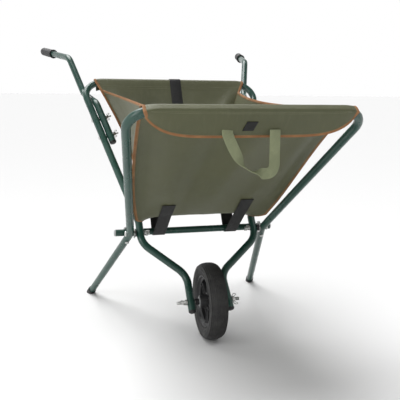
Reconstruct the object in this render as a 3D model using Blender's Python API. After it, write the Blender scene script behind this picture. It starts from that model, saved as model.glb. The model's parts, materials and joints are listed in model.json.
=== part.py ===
"""Folding garden barrow: two crossed tube frames, one wheel, two handles and a canvas bag.

Metres, +Z up, wheel towards -Y, handles towards +Y. The shapes are worked out in a design frame whose
Y = 0 is the fold axis; one empty moves them so that the origin is on the ground under the middle.
"""
import math

import bmesh
import bpy
from mathutils import Matrix, Vector

# ---------------------------------------------------------------- driving dimensions
FORWARD_SHIFT = -0.2050           # moves the design frame so the whole part is centred over the origin

TUBE_R = 0.011                    # frame and handle tube, 22 mm outside
TUBE_WALL = 0.0015
TUBE_SIDES = 14
GAP = 0.0003                      # between pieces that touch on the real object

PIVOT_HEIGHT = 0.284
# Corners of the right-hand half of each frame, before the bends are rounded: (x, y, z).
FRONT_RIM = Vector((0.286, -0.462, 0.659))
LEG_PIVOT = Vector((0.205, 0.0, PIVOT_HEIGHT))
FOOT = Vector((0.293, 0.342, 0.0))
REAR_RIM = Vector((0.310, 0.394, 0.720))
FORK_BEND = Vector((0.053, -0.075, 0.170))
FORK_END = Vector((0.056, -0.157, 0.090))
FRONT_CORNER_R = 0.062
REAR_CORNER_R = 0.060
KNEE_R = 0.060
# Between its knees the wheel frame's side tube runs straight through the pivot bolt.
FRAME_HALF = 0.176
PIVOT_RUN_SLOPE = math.radians(51)
KNEE_ABOVE_PIVOT = 0.036
KNEE_BELOW_PIVOT = 0.032

WHEEL_R = 0.109
AXLE = Vector((0.0, -0.136, WHEEL_R))
AXLE_R = 0.005
FORK_HALF = 0.0552                # tube centreline to the middle, at the axle
HUB_HALF = 0.030
BUSH_FLANGE_END = HUB_HALF + GAP + 0.0015
FOOT_CAP_LENGTH = 0.017           # from the ground up the leg to the tube's end

CROSSBAR_R = 0.010
CROSSBAR_WALL = 0.0012
CROSSBAR_HALF = 0.243
CROSSBAR_DOWN = 0.035             # from the pivot, down the leg

# Handle corners, from the rear rim's corner: along the side run, behind the frame, sideways.
HANDLE_STEPS = ((-0.262, -0.003, -0.0240), (-0.096, -0.003, -0.0240), (0.012, 0.072, -0.021),
                (0.184, 0.070, -0.0206))
HANDLE_ARM = Vector((0.077, 0.308, 0.036))
HANDLE_BEND_R = (0.050, 0.050, 0.055)
HANDLE_BOLTS = {"upper": -0.168, "lower": -0.240}
GRIP_LENGTH = 0.130

BOLT_R = 0.003
PIVOT_BOLT_R = 0.004

CANVAS = 0.003
WEBBING = 0.0025
FRONT_PANEL_LENGTH = 0.523
BAG_BOTTOM_REAR = Vector((0.0, 0.086, 0.338))
BAG_BOTTOM_RISE = 0.011           # the straps hold the middle of the front bottom edge above its corners
SIDE_TOP_FRONT = 0.012            # share of the front panel's edge above the side panel's corner
SIDE_TOP_REAR = 0.080             # the same share of the rear panel's edge
SIDE_BOW_IN = 0.046               # slack of the side panel's top edge
SIDE_BOW_DOWN = 0.015
BAG_FLOOR_HEIGHT = 0.3325
BAG_FLOOR_FRONT = (-0.047, 0.186)  # distance along Y, and half width
BAG_FLOOR_REAR = (0.083, 0.142)
FLAP_EDGE_HEIGHT = 0.602
SLEEVE_EASE = 1.4                 # how loosely the sleeves' ends sit over the corner bends
FLAP_EDGE_LIFT = 0.040            # how much higher the flap's corners are than its middle
STRAP_WIDTH = 0.038
BOTTOM_STRAP_X = 0.113
BOTTOM_STRAP_TOP = {"left": 0.86, "right": 0.83}   # share of the front panel's height
REAR_STRAP_X = 0.015
PULL_STRAP_WIDTH = 0.025

# ---------------------------------------------------------------- worked out from them
PIVOT = Vector((0.0, 0.0, PIVOT_HEIGHT))
PIVOT_RUN = Vector((0.0, math.cos(PIVOT_RUN_SLOPE), math.sin(PIVOT_RUN_SLOPE)))
SIDE_KNEE = PIVOT + Vector((FRAME_HALF, 0, 0)) + PIVOT_RUN * KNEE_ABOVE_PIVOT
FORK_KNEE = PIVOT + Vector((FRAME_HALF, 0, 0)) - PIVOT_RUN * KNEE_BELOW_PIVOT
SIDE_RUN = (REAR_RIM - SIDE_KNEE).normalized()
BEHIND_FRAME = Vector((0.0, SIDE_RUN.z, -SIDE_RUN.y)).normalized()
LEG_DOWN = (FOOT - LEG_PIVOT).normalized()
CROSSBAR_OFF = Vector((0.0, -LEG_DOWN.z, LEG_DOWN.y)).normalized()
LEG_AT_CROSSBAR = LEG_PIVOT + LEG_DOWN * CROSSBAR_DOWN
CROSSBAR = LEG_AT_CROSSBAR + CROSSBAR_OFF * (TUBE_R + CROSSBAR_R + GAP)
RIM_RUN_DOWN = -Vector((0.0, SIDE_RUN.y, SIDE_RUN.z)).normalized()
HEM_R = TUBE_R + 0.0006 + CANVAS / 2

PANEL_DOWN = Vector((0.0, -FRONT_RIM.y, LEG_PIVOT.z - FRONT_RIM.z)).normalized()
PANEL_IN = Vector((0.0, -PANEL_DOWN.z, PANEL_DOWN.y))
FRONT_RIM_MID = Vector((0.0, FRONT_RIM.y, FRONT_RIM.z))
REAR_RIM_MID = Vector((0.0, REAR_RIM.y, REAR_RIM.z))
REAR_DOWN = (BAG_BOTTOM_REAR - REAR_RIM_MID).normalized()
REAR_IN = Vector((0.0, REAR_DOWN.z, -REAR_DOWN.y))
REAR_PANEL_LENGTH = (BAG_BOTTOM_REAR - REAR_RIM_MID).length
SIDES = (("left", -1.0), ("right", 1.0))


def bend_start(rim, below, radius):
    """How far from the middle a rim tube starts its corner bend."""
    turn = (below - rim).angle(Vector((1, 0, 0)))
    return rim.x - radius * math.tan(turn / 2)


FRONT_BEND_X = bend_start(FRONT_RIM, LEG_PIVOT, FRONT_CORNER_R)
REAR_BEND_X = bend_start(REAR_RIM, SIDE_KNEE, REAR_CORNER_R)


# ---------------------------------------------------------------- scene and materials
def clear_scene():
    for old in list(bpy.data.objects):
        bpy.data.objects.remove(old, do_unlink=True)


def material(name, colour, roughness, metallic=0.0):
    made = bpy.data.materials.new(name)
    made.use_nodes = True
    shader = made.node_tree.nodes["Principled BSDF"]
    shader.inputs["Base Color"].default_value = (*colour, 1.0)
    shader.inputs["Roughness"].default_value = roughness
    shader.inputs["Metallic"].default_value = metallic
    return made


class Group:
    """An empty on a joint's axis, which carries the pieces of one body."""

    def __init__(self, name, axis_point, root=None):
        self.point = Vector(axis_point)
        self.empty = bpy.data.objects.new(name, None)
        bpy.context.scene.collection.objects.link(self.empty)
        if root is None:
            self.empty.location = self.point
        else:
            self.empty.parent = root.empty
            self.empty.location = self.point
        self.origin = Vector((0.0, 0.0, 0.0)) if root is None else self.point

    def add(self, name, bm, look, smooth=True):
        """Turn a bmesh drawn in the design frame into an object of this body."""
        bmesh.ops.translate(bm, verts=bm.verts, vec=-self.origin)
        bmesh.ops.recalc_face_normals(bm, faces=bm.faces)
        mesh = bpy.data.meshes.new(name)
        bm.to_mesh(mesh)
        bm.free()
        if smooth:
            mesh.shade_smooth()
            mesh.set_sharp_from_angle(angle=math.radians(40))
        if look is not None:
            mesh.materials.append(look)
        piece = bpy.data.objects.new(name, mesh)
        bpy.context.scene.collection.objects.link(piece)
        piece.parent = self.empty
        return piece


def boolean(piece, operand, operation):
    operand.hide_render = True
    operand.display_type = "WIRE"
    cut = piece.modifiers.new(operation.lower(), "BOOLEAN")
    cut.operation = operation
    cut.solver = "EXACT"
    cut.object = operand


# ---------------------------------------------------------------- geometry helpers
def mirrored(point, side):
    return Vector((point.x * side, point.y, point.z))


def rounded_path(corners, radii, step=math.radians(17)):
    """Centreline through the corners, with a circular bend at each inner one."""
    points = [corners[0]]
    for before, corner, after, radius in zip(corners, corners[1:], corners[2:], radii):
        arriving = (corner - before).normalized()
        leaving = (after - corner).normalized()
        turn = arriving.angle(leaving)
        centre = corner + (leaving - arriving).normalized() * (radius / math.cos(turn / 2))
        start = corner - arriving * (radius * math.tan(turn / 2)) - centre
        axis = arriving.cross(leaving).normalized()
        steps = max(2, round(turn / step))
        for i in range(steps + 1):
            points.append(centre + Matrix.Rotation(turn * i / steps, 3, axis) @ start)
    points.append(corners[-1])
    return points


def path_frames(points):
    """A tangent and a steady normal at each point, turned no more than the path itself turns."""
    runs = [(b - a).normalized() for a, b in zip(points, points[1:])]
    tangents = [runs[0]] + [(a + b).normalized() for a, b in zip(runs, runs[1:])] + [runs[-1]]
    normal = tangents[0].orthogonal().normalized()
    frames = []
    previous = tangents[0]
    for tangent in tangents:
        normal = previous.rotation_difference(tangent) @ normal
        frames.append((tangent, normal))
        previous = tangent
    return frames


def bridge(bm, rings, closed):
    """Quads between neighbouring rings of vertices."""
    pairs = list(zip(rings, rings[1:]))
    if closed:
        pairs.append((rings[-1], rings[0]))
    for a, b in pairs:
        for i in range(len(a)):
            j = (i + 1) % len(a)
            bm.faces.new((a[i], a[j], b[j], b[i]))


def hollow_tube(points, radius, wall, sides=TUBE_SIDES):
    """A bent tube, open at both ends."""
    bm = bmesh.new()
    outside = []
    inside = []
    for point, (tangent, normal) in zip(points, path_frames(points)):
        across = tangent.cross(normal)
        spokes = [normal * math.cos(math.tau * k / sides) + across * math.sin(math.tau * k / sides)
                  for k in range(sides)]
        outside.append([bm.verts.new(point + spoke * radius) for spoke in spokes])
        inside.append([bm.verts.new(point + spoke * (radius - wall)) for spoke in spokes])
    bridge(bm, outside + inside[::-1], closed=True)
    return bm


def turned(profile, base, axis, sides):
    """Turn a profile of (radius, height) about an axis. One that starts on the axis ends on it too."""
    bm = bmesh.new()
    axis = axis.normalized()
    side_a = axis.orthogonal().normalized()
    side_b = axis.cross(side_a)
    solid = profile[0][0] == 0.0
    ring_points = profile[1:-1] if solid else profile
    rings = []
    for radius, height in ring_points:
        rings.append([bm.verts.new(base + axis * height
                                   + side_a * (radius * math.cos(math.tau * k / sides))
                                   + side_b * (radius * math.sin(math.tau * k / sides)))
                      for k in range(sides)])
    bridge(bm, rings, closed=not solid)
    if solid:
        for height, ring in ((profile[0][1], rings[0]), (profile[-1][1], rings[-1])):
            tip = bm.verts.new(base + axis * height)
            for k in range(sides):
                bm.faces.new((tip, ring[k], ring[(k + 1) % sides]))
    return bm


def box(low, high):
    bm = bmesh.new()
    bmesh.ops.create_cube(bm, size=1.0)
    middle = (low + high) / 2
    size = high - low
    bmesh.ops.scale(bm, vec=size, verts=bm.verts)
    bmesh.ops.translate(bm, vec=middle, verts=bm.verts)
    return bm


def sheet(rows, thickness):
    """A closed solid of even thickness on a grid of mid-surface points."""
    count = len(rows)
    across = len(rows[0])
    bm = bmesh.new()
    faces = []
    for shift in (thickness / 2, -thickness / 2):
        layer = []
        for i in range(count):
            line = []
            for j in range(across):
                along = rows[min(i + 1, count - 1)][j] - rows[max(i - 1, 0)][j]
                over = rows[i][min(j + 1, across - 1)] - rows[i][max(j - 1, 0)]
                line.append(bm.verts.new(rows[i][j] + along.cross(over).normalized() * shift))
            layer.append(line)
        faces.append(layer)
    for layer in faces:
        for i in range(count - 1):
            for j in range(across - 1):
                bm.faces.new((layer[i][j], layer[i + 1][j], layer[i + 1][j + 1], layer[i][j + 1]))
    front, back = faces
    edge_path = ([(0, j) for j in range(across)] + [(i, across - 1) for i in range(1, count)]
                 + [(count - 1, j) for j in range(across - 2, -1, -1)]
                 + [(i, 0) for i in range(count - 2, 0, -1)])
    for (i, j), (k, m) in zip(edge_path, edge_path[1:] + edge_path[:1]):
        bm.faces.new((front[i][j], front[k][m], back[k][m], back[i][j]))
    return bm


def ribbon(points, width_directions, width, thickness):
    """Flat webbing along a path, with its own width direction at each point."""
    bm = bmesh.new()
    rings = []
    for (tangent, _), point, direction in zip(path_frames(points), points, width_directions):
        across = (direction - tangent * direction.dot(tangent)).normalized() * (width / 2)
        up = tangent.cross(across).normalized() * (thickness / 2)
        rings.append([bm.verts.new(point + a * across + b * up)
                      for a, b in ((1, 1), (-1, 1), (-1, -1), (1, -1))])
    bridge(bm, rings, closed=False)
    bm.faces.new(rings[0])
    bm.faces.new(rings[-1])
    return bm


def drill(piece, group, name, start, end, radius, sides=10):
    """Cut a round hole through a piece, from start to end."""
    length = (end - start).length
    cutter = group.add(name, turned([(0.0, 0.0), (radius, 0.0), (radius, length), (0.0, length)],
                                    start, end - start, sides), None)
    boolean(piece, cutter, "DIFFERENCE")


# ---------------------------------------------------------------- centrelines
def leg_frame_path():
    """From the left foot up over the front rim and down to the right foot."""
    tube_end = FOOT - LEG_DOWN * FOOT_CAP_LENGTH
    half = [tube_end, LEG_PIVOT, FRONT_RIM]
    corners = [mirrored(p, -1) for p in half] + half[::-1]
    return rounded_path(corners, (KNEE_R, FRONT_CORNER_R, FRONT_CORNER_R, KNEE_R))


def wheel_frame_path():
    """From the left fork end up over the rear rim and down to the right fork end."""
    half = [FORK_END, FORK_BEND, FORK_KNEE, SIDE_KNEE, REAR_RIM]
    corners = [mirrored(p, -1) for p in half] + half[::-1]
    radii = (KNEE_R, KNEE_R, KNEE_R, REAR_CORNER_R)
    return rounded_path(corners, radii + radii[::-1])


def handle_corners(side):
    corners = [REAR_RIM + SIDE_RUN * along + BEHIND_FRAME * behind + Vector((sideways, 0, 0))
               for along, behind, sideways in HANDLE_STEPS]
    corners.append(corners[-1] + HANDLE_ARM)
    return [mirrored(p, side) for p in corners]


def handle_bolt_line(side, along):
    """The side run's centre at a handle bolt, and the direction from it to the handle's centre."""
    lower = REAR_RIM + SIDE_RUN * along
    _, behind, sideways = HANDLE_STEPS[0]
    offset = BEHIND_FRAME * behind + Vector((sideways, 0, 0))
    offset -= SIDE_RUN * offset.dot(SIDE_RUN)
    return mirrored(lower, side), mirrored(offset.normalized(), side), offset.length


# ---------------------------------------------------------------- fasteners and plugs
def bolt(group, name, seat, direction, length, shank_r, look):
    """A domed head that seats at seat, and a shank of the given length along direction."""
    head_r = shank_r * 2.1
    head = shank_r * 1.2
    profile = [(0.0, -head), (head_r * 0.55, -head * 0.88), (head_r * 0.9, -head * 0.45), (head_r, 0.0),
               (shank_r, 0.0), (shank_r, length - 0.001), (shank_r - 0.0008, length), (0.0, length)]
    return group.add(name, turned(profile, seat, direction, 10), look)


def washer(group, name, seat, direction, outer, inner, thickness, look):
    profile = [(inner, 0.0), (outer, 0.0), (outer, thickness), (inner, thickness)]
    return group.add(name, turned(profile, seat, direction, 12), look)


def wing_nut(group, name, seat, direction, thread_r, look, ears_along, ear=0.0095):
    """A tapered boss with a bore, and two ears that lean away from the seat."""
    bore = thread_r + 0.0005
    boss_r = thread_r + 0.0035
    height = thread_r + 0.003
    nut = group.add(name, turned([(bore, 0.0), (boss_r, 0.0), (boss_r - 0.001, height), (bore, height)],
                                 seat, direction, 12), look)
    axis = direction.normalized()
    radial = (ears_along - axis * ears_along.dot(axis)).normalized()
    across = axis.cross(radial) * 0.0012
    root = bore + 0.0008
    reach = boss_r + ear
    outline = ((root, 0.0010), (boss_r + 0.003, 0.0022), (reach, height * 1.1), (reach - 0.0005, height * 1.75),
               (reach - 0.004, height * 2.0), (boss_r + 0.0005, height * 0.95), (root, height * 0.85))
    bm = bmesh.new()
    for sign in (1, -1):
        layers = [[bm.verts.new(seat + radial * (sign * r) + axis * h + across * t) for r, h in outline]
                  for t in (1, -1)]
        bridge(bm, layers, closed=False)
        for layer in layers:
            bm.faces.new(layer)
    ears = group.add(name + "_ears", bm, None)
    boolean(nut, ears, "UNION")
    return nut


def end_plug(group, name, end, outward, radius, wall, look):
    """A plug pushed into a tube's open end, with a low domed head."""
    neck = (radius - wall) * 0.94
    profile = [(0.0, -0.012), (neck, -0.012), (neck, GAP), (radius, GAP), (radius, 0.0025),
               (radius - 0.003, 0.0045), (0.0, 0.0052)]
    return group.add(name, turned(profile, end, outward, 16), look)


# ---------------------------------------------------------------- sub-parts
def make_leg_frame(group, looks):
    tube = group.add("leg_frame_tube", hollow_tube(leg_frame_path(), TUBE_R, TUBE_WALL), looks["frame_paint"])
    reach = Vector((0.230, 0.0, 0.0))
    drill(tube, group, "cut_leg_pivot", PIVOT - reach, PIVOT + reach, PIVOT_BOLT_R + 0.0006)
    bar = group.add("crossbar_tube", hollow_tube([Vector((-CROSSBAR_HALF, CROSSBAR.y, CROSSBAR.z)),
                                                  Vector((CROSSBAR_HALF, CROSSBAR.y, CROSSBAR.z))],
                                                 CROSSBAR_R, CROSSBAR_WALL), looks["frame_paint"])
    for label, side in SIDES:
        middle = mirrored(LEG_AT_CROSSBAR, side)
        start = middle - CROSSBAR_OFF * 0.020
        end = middle + CROSSBAR_OFF * 0.040
        for piece, name in ((tube, "cut_leg_crossbar_"), (bar, "cut_crossbar_")):
            drill(piece, group, name + label, start, end, BOLT_R + 0.0005)
        bolt(group, "crossbar_bolt_" + label, middle - CROSSBAR_OFF * (TUBE_R + 0.0012), CROSSBAR_OFF,
             0.0440, BOLT_R, looks["steel"])
        washer(group, "crossbar_nut_" + label, middle + CROSSBAR_OFF * (TUBE_R + 2 * CROSSBAR_R + 3 * GAP),
               CROSSBAR_OFF, 0.0055, BOLT_R + 0.0004, 0.005, looks["steel"])
        end_plug(group, "crossbar_plug_" + label, Vector((side * CROSSBAR_HALF, CROSSBAR.y, CROSSBAR.z)),
                 Vector((side, 0, 0)), CROSSBAR_R, CROSSBAR_WALL, looks["grey_plastic"])
        make_foot_cap(group, label, side, looks)
        make_pivot_hardware(group, label, side, looks)


def make_foot_cap(group, label, side, looks):
    """A rubber cap over the leg's end, cut level with the ground."""
    down = mirrored(LEG_DOWN, side)
    tube_end = mirrored(FOOT, side) - down * FOOT_CAP_LENGTH
    bore = TUBE_R + 0.0006
    skin = TUBE_R + 0.0022
    tip = FOOT_CAP_LENGTH + 0.004
    profile = [(0.0, GAP), (bore, GAP), (bore, -0.010), (skin, -0.010), (skin, tip - 0.003),
               (skin - 0.003, tip), (0.0, tip)]
    cap = group.add("foot_cap_" + label, turned(profile, tube_end, down, 16), looks["rubber"])
    corner = mirrored(FOOT, side)
    ground = group.add("cut_ground_" + label, box(corner + Vector((-0.05, -0.05, -0.05)),
                                                  corner + Vector((0.05, 0.05, 0.0))), None)
    boolean(cap, ground, "DIFFERENCE")


def make_pivot_hardware(group, label, side, looks):
    """Bolt from outside, then leg tube, steel washer, nylon spacer, wheel frame tube and wing nut."""
    turn = (LEG_PIVOT - FOOT).angle(FRONT_RIM - LEG_PIVOT)
    leg_x = LEG_PIVOT.x + KNEE_R * (1 / math.cos(turn / 2) - 1)
    inward = Vector((-side, 0, 0))

    def at(distance):
        return Vector((side * distance, 0.0, PIVOT_HEIGHT))

    head_x = leg_x + TUBE_R + 0.0011
    gap_outer = leg_x - TUBE_R - GAP
    gap_inner = SIDE_KNEE.x + TUBE_R + GAP
    nut_x = SIDE_KNEE.x - TUBE_R - 0.0012
    washer_thick = 0.002
    bolt(group, "pivot_bolt_" + label, at(head_x), inward, head_x - nut_x + 0.016, PIVOT_BOLT_R, looks["steel"])
    washer(group, "pivot_washer_" + label, at(gap_outer), inward, 0.0145, PIVOT_BOLT_R + 0.0004,
           washer_thick, looks["steel"])
    washer(group, "pivot_spacer_" + label, at(gap_outer - washer_thick - GAP), inward, 0.010,
           PIVOT_BOLT_R + 0.0004, gap_outer - washer_thick - GAP - gap_inner, looks["black_plastic"])
    wing_nut(group, "pivot_wing_nut_" + label, at(nut_x), inward, PIVOT_BOLT_R, looks["steel"], BEHIND_FRAME)


def make_wheel_frame(group, looks):
    tube = group.add("wheel_frame_tube", hollow_tube(wheel_frame_path(), TUBE_R, TUBE_WALL),
                     looks["frame_paint"])
    reach = Vector((0.200, 0.0, 0.0))
    drill(tube, group, "cut_frame_pivot", PIVOT - reach, PIVOT + reach, PIVOT_BOLT_R + 0.0006)
    reach = Vector((0.085, 0.0, 0.0))
    drill(tube, group, "cut_fork_axle", AXLE - reach, AXLE + reach, AXLE_R + 0.0006)
    for label, side in SIDES:
        path = rounded_path(handle_corners(side), HANDLE_BEND_R)
        handle = group.add("handle_tube_" + label, hollow_tube(path, TUBE_R, TUBE_WALL), looks["frame_paint"])
        end_plug(group, "handle_end_cap_" + label, path[0], path[0] - path[1], TUBE_R, TUBE_WALL,
                 looks["black_plastic"])
        make_grip(group, label, path, looks)
        fork_end = mirrored(FORK_END, side)
        end_plug(group, "fork_plug_" + label, fork_end, fork_end - mirrored(FORK_BEND, side), TUBE_R,
                 TUBE_WALL, looks["black_plastic"])
        for place, along in HANDLE_BOLTS.items():
            make_handle_bolt(group, tube, handle, place + "_" + label, side, along, looks)


def make_handle_bolt(group, tube, handle, label, side, along, looks):
    centre, towards, spacing = handle_bolt_line(side, along)
    for piece, name in ((tube, "cut_frame_"), (handle, "cut_handle_")):
        drill(piece, group, name + label, centre - towards * 0.020, centre + towards * 0.046, BOLT_R + 0.0005)
    bolt(group, "handle_bolt_" + label, centre - towards * (TUBE_R + GAP), towards,
         spacing + 2 * TUBE_R + 0.017, BOLT_R, looks["steel"])
    washer(group, "handle_spacer_" + label, centre + towards * (TUBE_R + GAP), towards, 0.007,
           BOLT_R + 0.0005, spacing - 2 * TUBE_R - 2 * GAP, looks["black_plastic"])
    wing_nut(group, "handle_wing_nut_" + label, centre + towards * (spacing + TUBE_R + GAP), towards, BOLT_R,
             looks["steel"], towards.cross(SIDE_RUN), ear=0.0120)


def make_grip(group, label, path, looks):
    """A blind rubber grip with a flange at its open end and a rounded closed end."""
    end = path[-1]
    outward = (path[-1] - path[-2]).normalized()
    bore = TUBE_R + 0.0006
    body = 0.0145
    start = 0.004 - GRIP_LENGTH
    profile = [(0.0, GAP), (bore, GAP), (bore, start), (0.0168, start), (0.0168, start + 0.003),
               (body, start + 0.006), (body + 0.0008, start + 0.045), (body, start + 0.090),
               (body + 0.0012, 0.0), (body - 0.0005, 0.0065), (0.009, 0.0105), (0.0, 0.012)]
    group.add("handle_grip_" + label, turned(profile, end, outward, 16), looks["rubber"])


def make_axle(group, looks):
    low = -0.096
    high = 0.088
    profile = [(0.0, 0.0), (AXLE_R - 0.001, 0.0), (AXLE_R, 0.001), (AXLE_R, high - low - 0.001),
               (AXLE_R - 0.001, high - low), (0.0, high - low)]
    group.add("axle_rod", turned(profile, AXLE + Vector((low, 0, 0)), Vector((1, 0, 0)), 12), looks["steel"])
    for label, side in SIDES:
        outward = Vector((side, 0, 0))
        wing_nut(group, "axle_wing_nut_" + label, AXLE + outward * (FORK_HALF + TUBE_R + 2 * GAP), outward,
                 AXLE_R, looks["steel"], Vector((0, 1, 1)) if side > 0 else Vector((0, 1, 0)))
        inner = BUSH_FLANGE_END + GAP
        washer(group, "hub_spacer_" + label, AXLE + outward * inner, outward, 0.009, AXLE_R + 0.0005,
               FORK_HALF - TUBE_R - 2 * GAP - inner, looks["black_plastic"])


def make_wheel(group, looks):
    rim_seat = 0.075
    half_profile = [(rim_seat, 0.0195), (0.080, 0.0225), (0.088, 0.0250), (0.096, 0.0255), (0.1025, 0.0232),
                    (0.1068, 0.0178), (0.1086, 0.0095)]
    across = half_profile + [(WHEEL_R, 0.0)] + [(r, -x) for r, x in half_profile[::-1]]
    axis = Vector((1, 0, 0))
    group.add("tyre", turned(across, AXLE, axis, 44), looks["tyre"])

    outer = rim_seat - 0.0006
    half_rim = [(outer, 0.0185), (0.069, 0.0195), (0.062, 0.0130)]
    rim = group.add("wheel_rim", turned(half_rim + [(r, -x) for r, x in half_rim[::-1]], AXLE, axis, 40),
                    looks["black_plastic"])
    hub_r = 0.019
    bore = 0.0096
    hub = group.add("rim_hub", turned([(bore, -HUB_HALF), (hub_r - 0.002, -HUB_HALF), (hub_r, -0.022),
                                       (hub_r, 0.022), (hub_r - 0.002, HUB_HALF), (bore, HUB_HALF)],
                                      AXLE, axis, 24), None)
    boolean(rim, hub, "UNION")
    spokes = bmesh.new()
    spoke_count = 6
    for k in range(spoke_count):
        blade = box(Vector((-0.007, -0.0045, 0.014)), Vector((0.007, 0.0045, 0.066)))
        bmesh.ops.transform(blade, verts=blade.verts,
                            matrix=Matrix.Translation(AXLE) @ Matrix.Rotation(math.tau * k / spoke_count, 4, "X"))
        mesh = bpy.data.meshes.new("blade")
        blade.to_mesh(mesh)
        blade.free()
        spokes.from_mesh(mesh)
    boolean(rim, group.add("rim_spokes", spokes, None, smooth=False), "UNION")
    for label, side in SIDES:
        outward = Vector((side, 0, 0))
        bush_bore = AXLE_R + 0.0005
        shell = bore - 0.0004
        profile = [(bush_bore, 0.014), (shell, 0.014), (shell, HUB_HALF + GAP), (0.013, HUB_HALF + GAP),
                   (0.013, BUSH_FLANGE_END), (bush_bore, BUSH_FLANGE_END)]
        group.add("wheel_bearing_" + label, turned(profile, AXLE, outward, 16), looks["grey_plastic"])


# ---------------------------------------------------------------- the canvas bag
def front_half_width(v):
    return 0.246 - 0.030 * v - 0.024 * v ** 4


def rear_half_width(v):
    return 0.148 + 0.109 * (1 - v) ** 2.2


def bottom_rise(x_share, v):
    return Vector((0.0, 0.0, BAG_BOTTOM_RISE * (1 - abs(x_share) ** 5) * v ** 6))


def bend_drop(x, start, radius):
    """How far the rim tube has dropped at x, and how much wider its canvas sleeve is there."""
    past = max(0.0, abs(x) - start)
    drop = radius - math.sqrt(radius ** 2 - past ** 2)
    tilt = math.asin(past / radius)
    return drop, SLEEVE_EASE * TUBE_R * (1 / math.cos(tilt) - 1)


def front_drop(x):
    return bend_drop(x, FRONT_BEND_X, FRONT_CORNER_R)


def rear_drop(x):
    return bend_drop(x, REAR_BEND_X, REAR_CORNER_R)


def front_point(x_share, v):
    """Mid-surface of the front panel: x_share -1 to 1 across, v 0 at the rim to 1 at the bottom."""
    hump = 0.0225 * math.sin(math.pi * v ** 0.75) * (0.30 + 0.70 * x_share ** 6)
    drop, wider = front_drop(x_share * front_half_width(0))
    lift = HEM_R + (0.006 - HEM_R) * v + hump + wider * max(0.0, 1 - v / 0.30) ** 2
    return (FRONT_RIM_MID + PANEL_DOWN * (FRONT_PANEL_LENGTH * v + drop * (1 - v) ** 4) + PANEL_IN * lift
            + Vector((x_share * front_half_width(v), 0, 0)) + bottom_rise(x_share, v))


def rear_point(x_share, v):
    """Mid-surface of the rear panel."""
    drop, wider = rear_drop(x_share * rear_half_width(0))
    lift = (HEM_R + wider) * max(0.0, 1 - v / 0.25) ** 2
    return (REAR_RIM_MID + REAR_DOWN * (REAR_PANEL_LENGTH * v) + REAR_IN * lift
            + RIM_RUN_DOWN * (drop * (1 - v) ** 4)
            + Vector((x_share * rear_half_width(v), 0, 0)))


def shares(count):
    return [2 * k / count - 1 for k in range(count + 1)]


def sleeve_shares(close):
    """Columns across a panel with a sleeve: even in the middle and close together over the bends."""
    return [-s for s in close] + [-0.60, -0.30, 0.0, 0.30, 0.60] + [s for s in close[::-1]]


def sleeve_row(angle, middle, half, drop_at, down, columns):
    """One row of a rim sleeve, at an angle round the tube."""
    spoke = Vector((0.0, math.cos(angle), math.sin(angle)))
    row = []
    for s in columns:
        drop, wider = drop_at(s * half)
        row.append(middle + spoke * (HEM_R + wider) + down * drop + Vector((s * half, 0, 0)))
    return row


def flap_edge(x):
    return FLAP_EDGE_HEIGHT + FLAP_EDGE_LIFT * (abs(x) / front_half_width(0)) ** 6


def flap_point(x, down):
    """Mid-surface of the flap in front of the rim: down is 0 at the rim and 1 at its lower edge."""
    drop, wider = front_drop(x)
    low = flap_edge(x)
    top = FRONT_RIM.z + PANEL_DOWN.z * drop
    lean = 0.025 * (FRONT_RIM.z - low) / (FRONT_RIM.z - FLAP_EDGE_HEIGHT)
    y = FRONT_RIM.y + PANEL_DOWN.y * drop - HEM_R - wider + lean * down ** 2
    return Vector((x, y, top + (low - top) * down))


def make_front_panel(group, looks):
    columns = sleeve_shares((1.0, 0.97, 0.935, 0.87))
    rows = [[front_point(s, v) for s in columns] 
            for v in (1.0, 0.93, 0.84, 0.72, 0.58, 0.44, 0.30, 0.16, 0.06, 0.0)]
    start = math.atan2(PANEL_IN.z, PANEL_IN.y)
    hem_steps = 5
    for k in range(1, hem_steps + 1):
        angle = start + (math.pi - start) * k / hem_steps
        rows.append(sleeve_row(angle, FRONT_RIM_MID, front_half_width(0), front_drop, PANEL_DOWN, columns))
    for down in (0.35, 0.7, 1.0):
        rows.append([flap_point(s * front_half_width(0), down) for s in columns])
    group.add("bag_front_panel", sheet(rows, CANVAS), looks["canvas"])

    patch_thick = 0.0016
    patch_rows = []
    for down, low_x in ((0.46, -0.018), (0.63, -0.022), (0.80, -0.026)):
        patch_rows.append([flap_point(low_x + across, down)
                           - Vector((0, CANVAS / 2 + GAP * 2 + patch_thick / 2, 0))
                           for across in (0.0, 0.013, 0.026)])
    group.add("flap_patch", sheet(patch_rows, patch_thick), looks["black_webbing"])


def make_rear_panel(group, looks):
    columns = sleeve_shares((1.0, 0.96, 0.92, 0.88))
    rows = [[rear_point(s, v) for s in columns] 
            for v in (1.0, 0.92, 0.84, 0.68, 0.52, 0.36, 0.22, 0.12, 0.05, 0.0)]
    start = math.atan2(REAR_IN.z, REAR_IN.y)
    back = -math.pi * 0.12
    hem_steps = 6
    for k in range(1, hem_steps + 1):
        angle = start + (back - start) * k / hem_steps
        rows.append(sleeve_row(angle, REAR_RIM_MID, rear_half_width(0), rear_drop, RIM_RUN_DOWN, columns))
    tail_down = Vector((0.0, math.sin(back), -math.cos(back)))
    rows.append([p + tail_down * 0.022 for p in rows[-1]])
    group.add("bag_rear_panel", sheet(rows, CANVAS), looks["canvas"])

    strap_lift = CANVAS / 2 + GAP * 3 + WEBBING / 2
    reach = HEM_R + strap_lift
    path = [rear_point(0, v) + REAR_IN * strap_lift for v in (0.17, 0.12, 0.05)]
    for k in range(hem_steps + 1):
        angle = start + (back - start) * k / hem_steps
        path.append(REAR_RIM_MID + Vector((0.0, math.cos(angle), math.sin(angle))) * reach)
    path.append(path[-1] + tail_down * 0.045)
    path = [p + Vector((REAR_STRAP_X, 0, 0)) for p in path]
    group.add("rear_rim_strap", ribbon(path, [Vector((1, 0, 0))] * len(path), STRAP_WIDTH, WEBBING),
              looks["black_webbing"])


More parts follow.
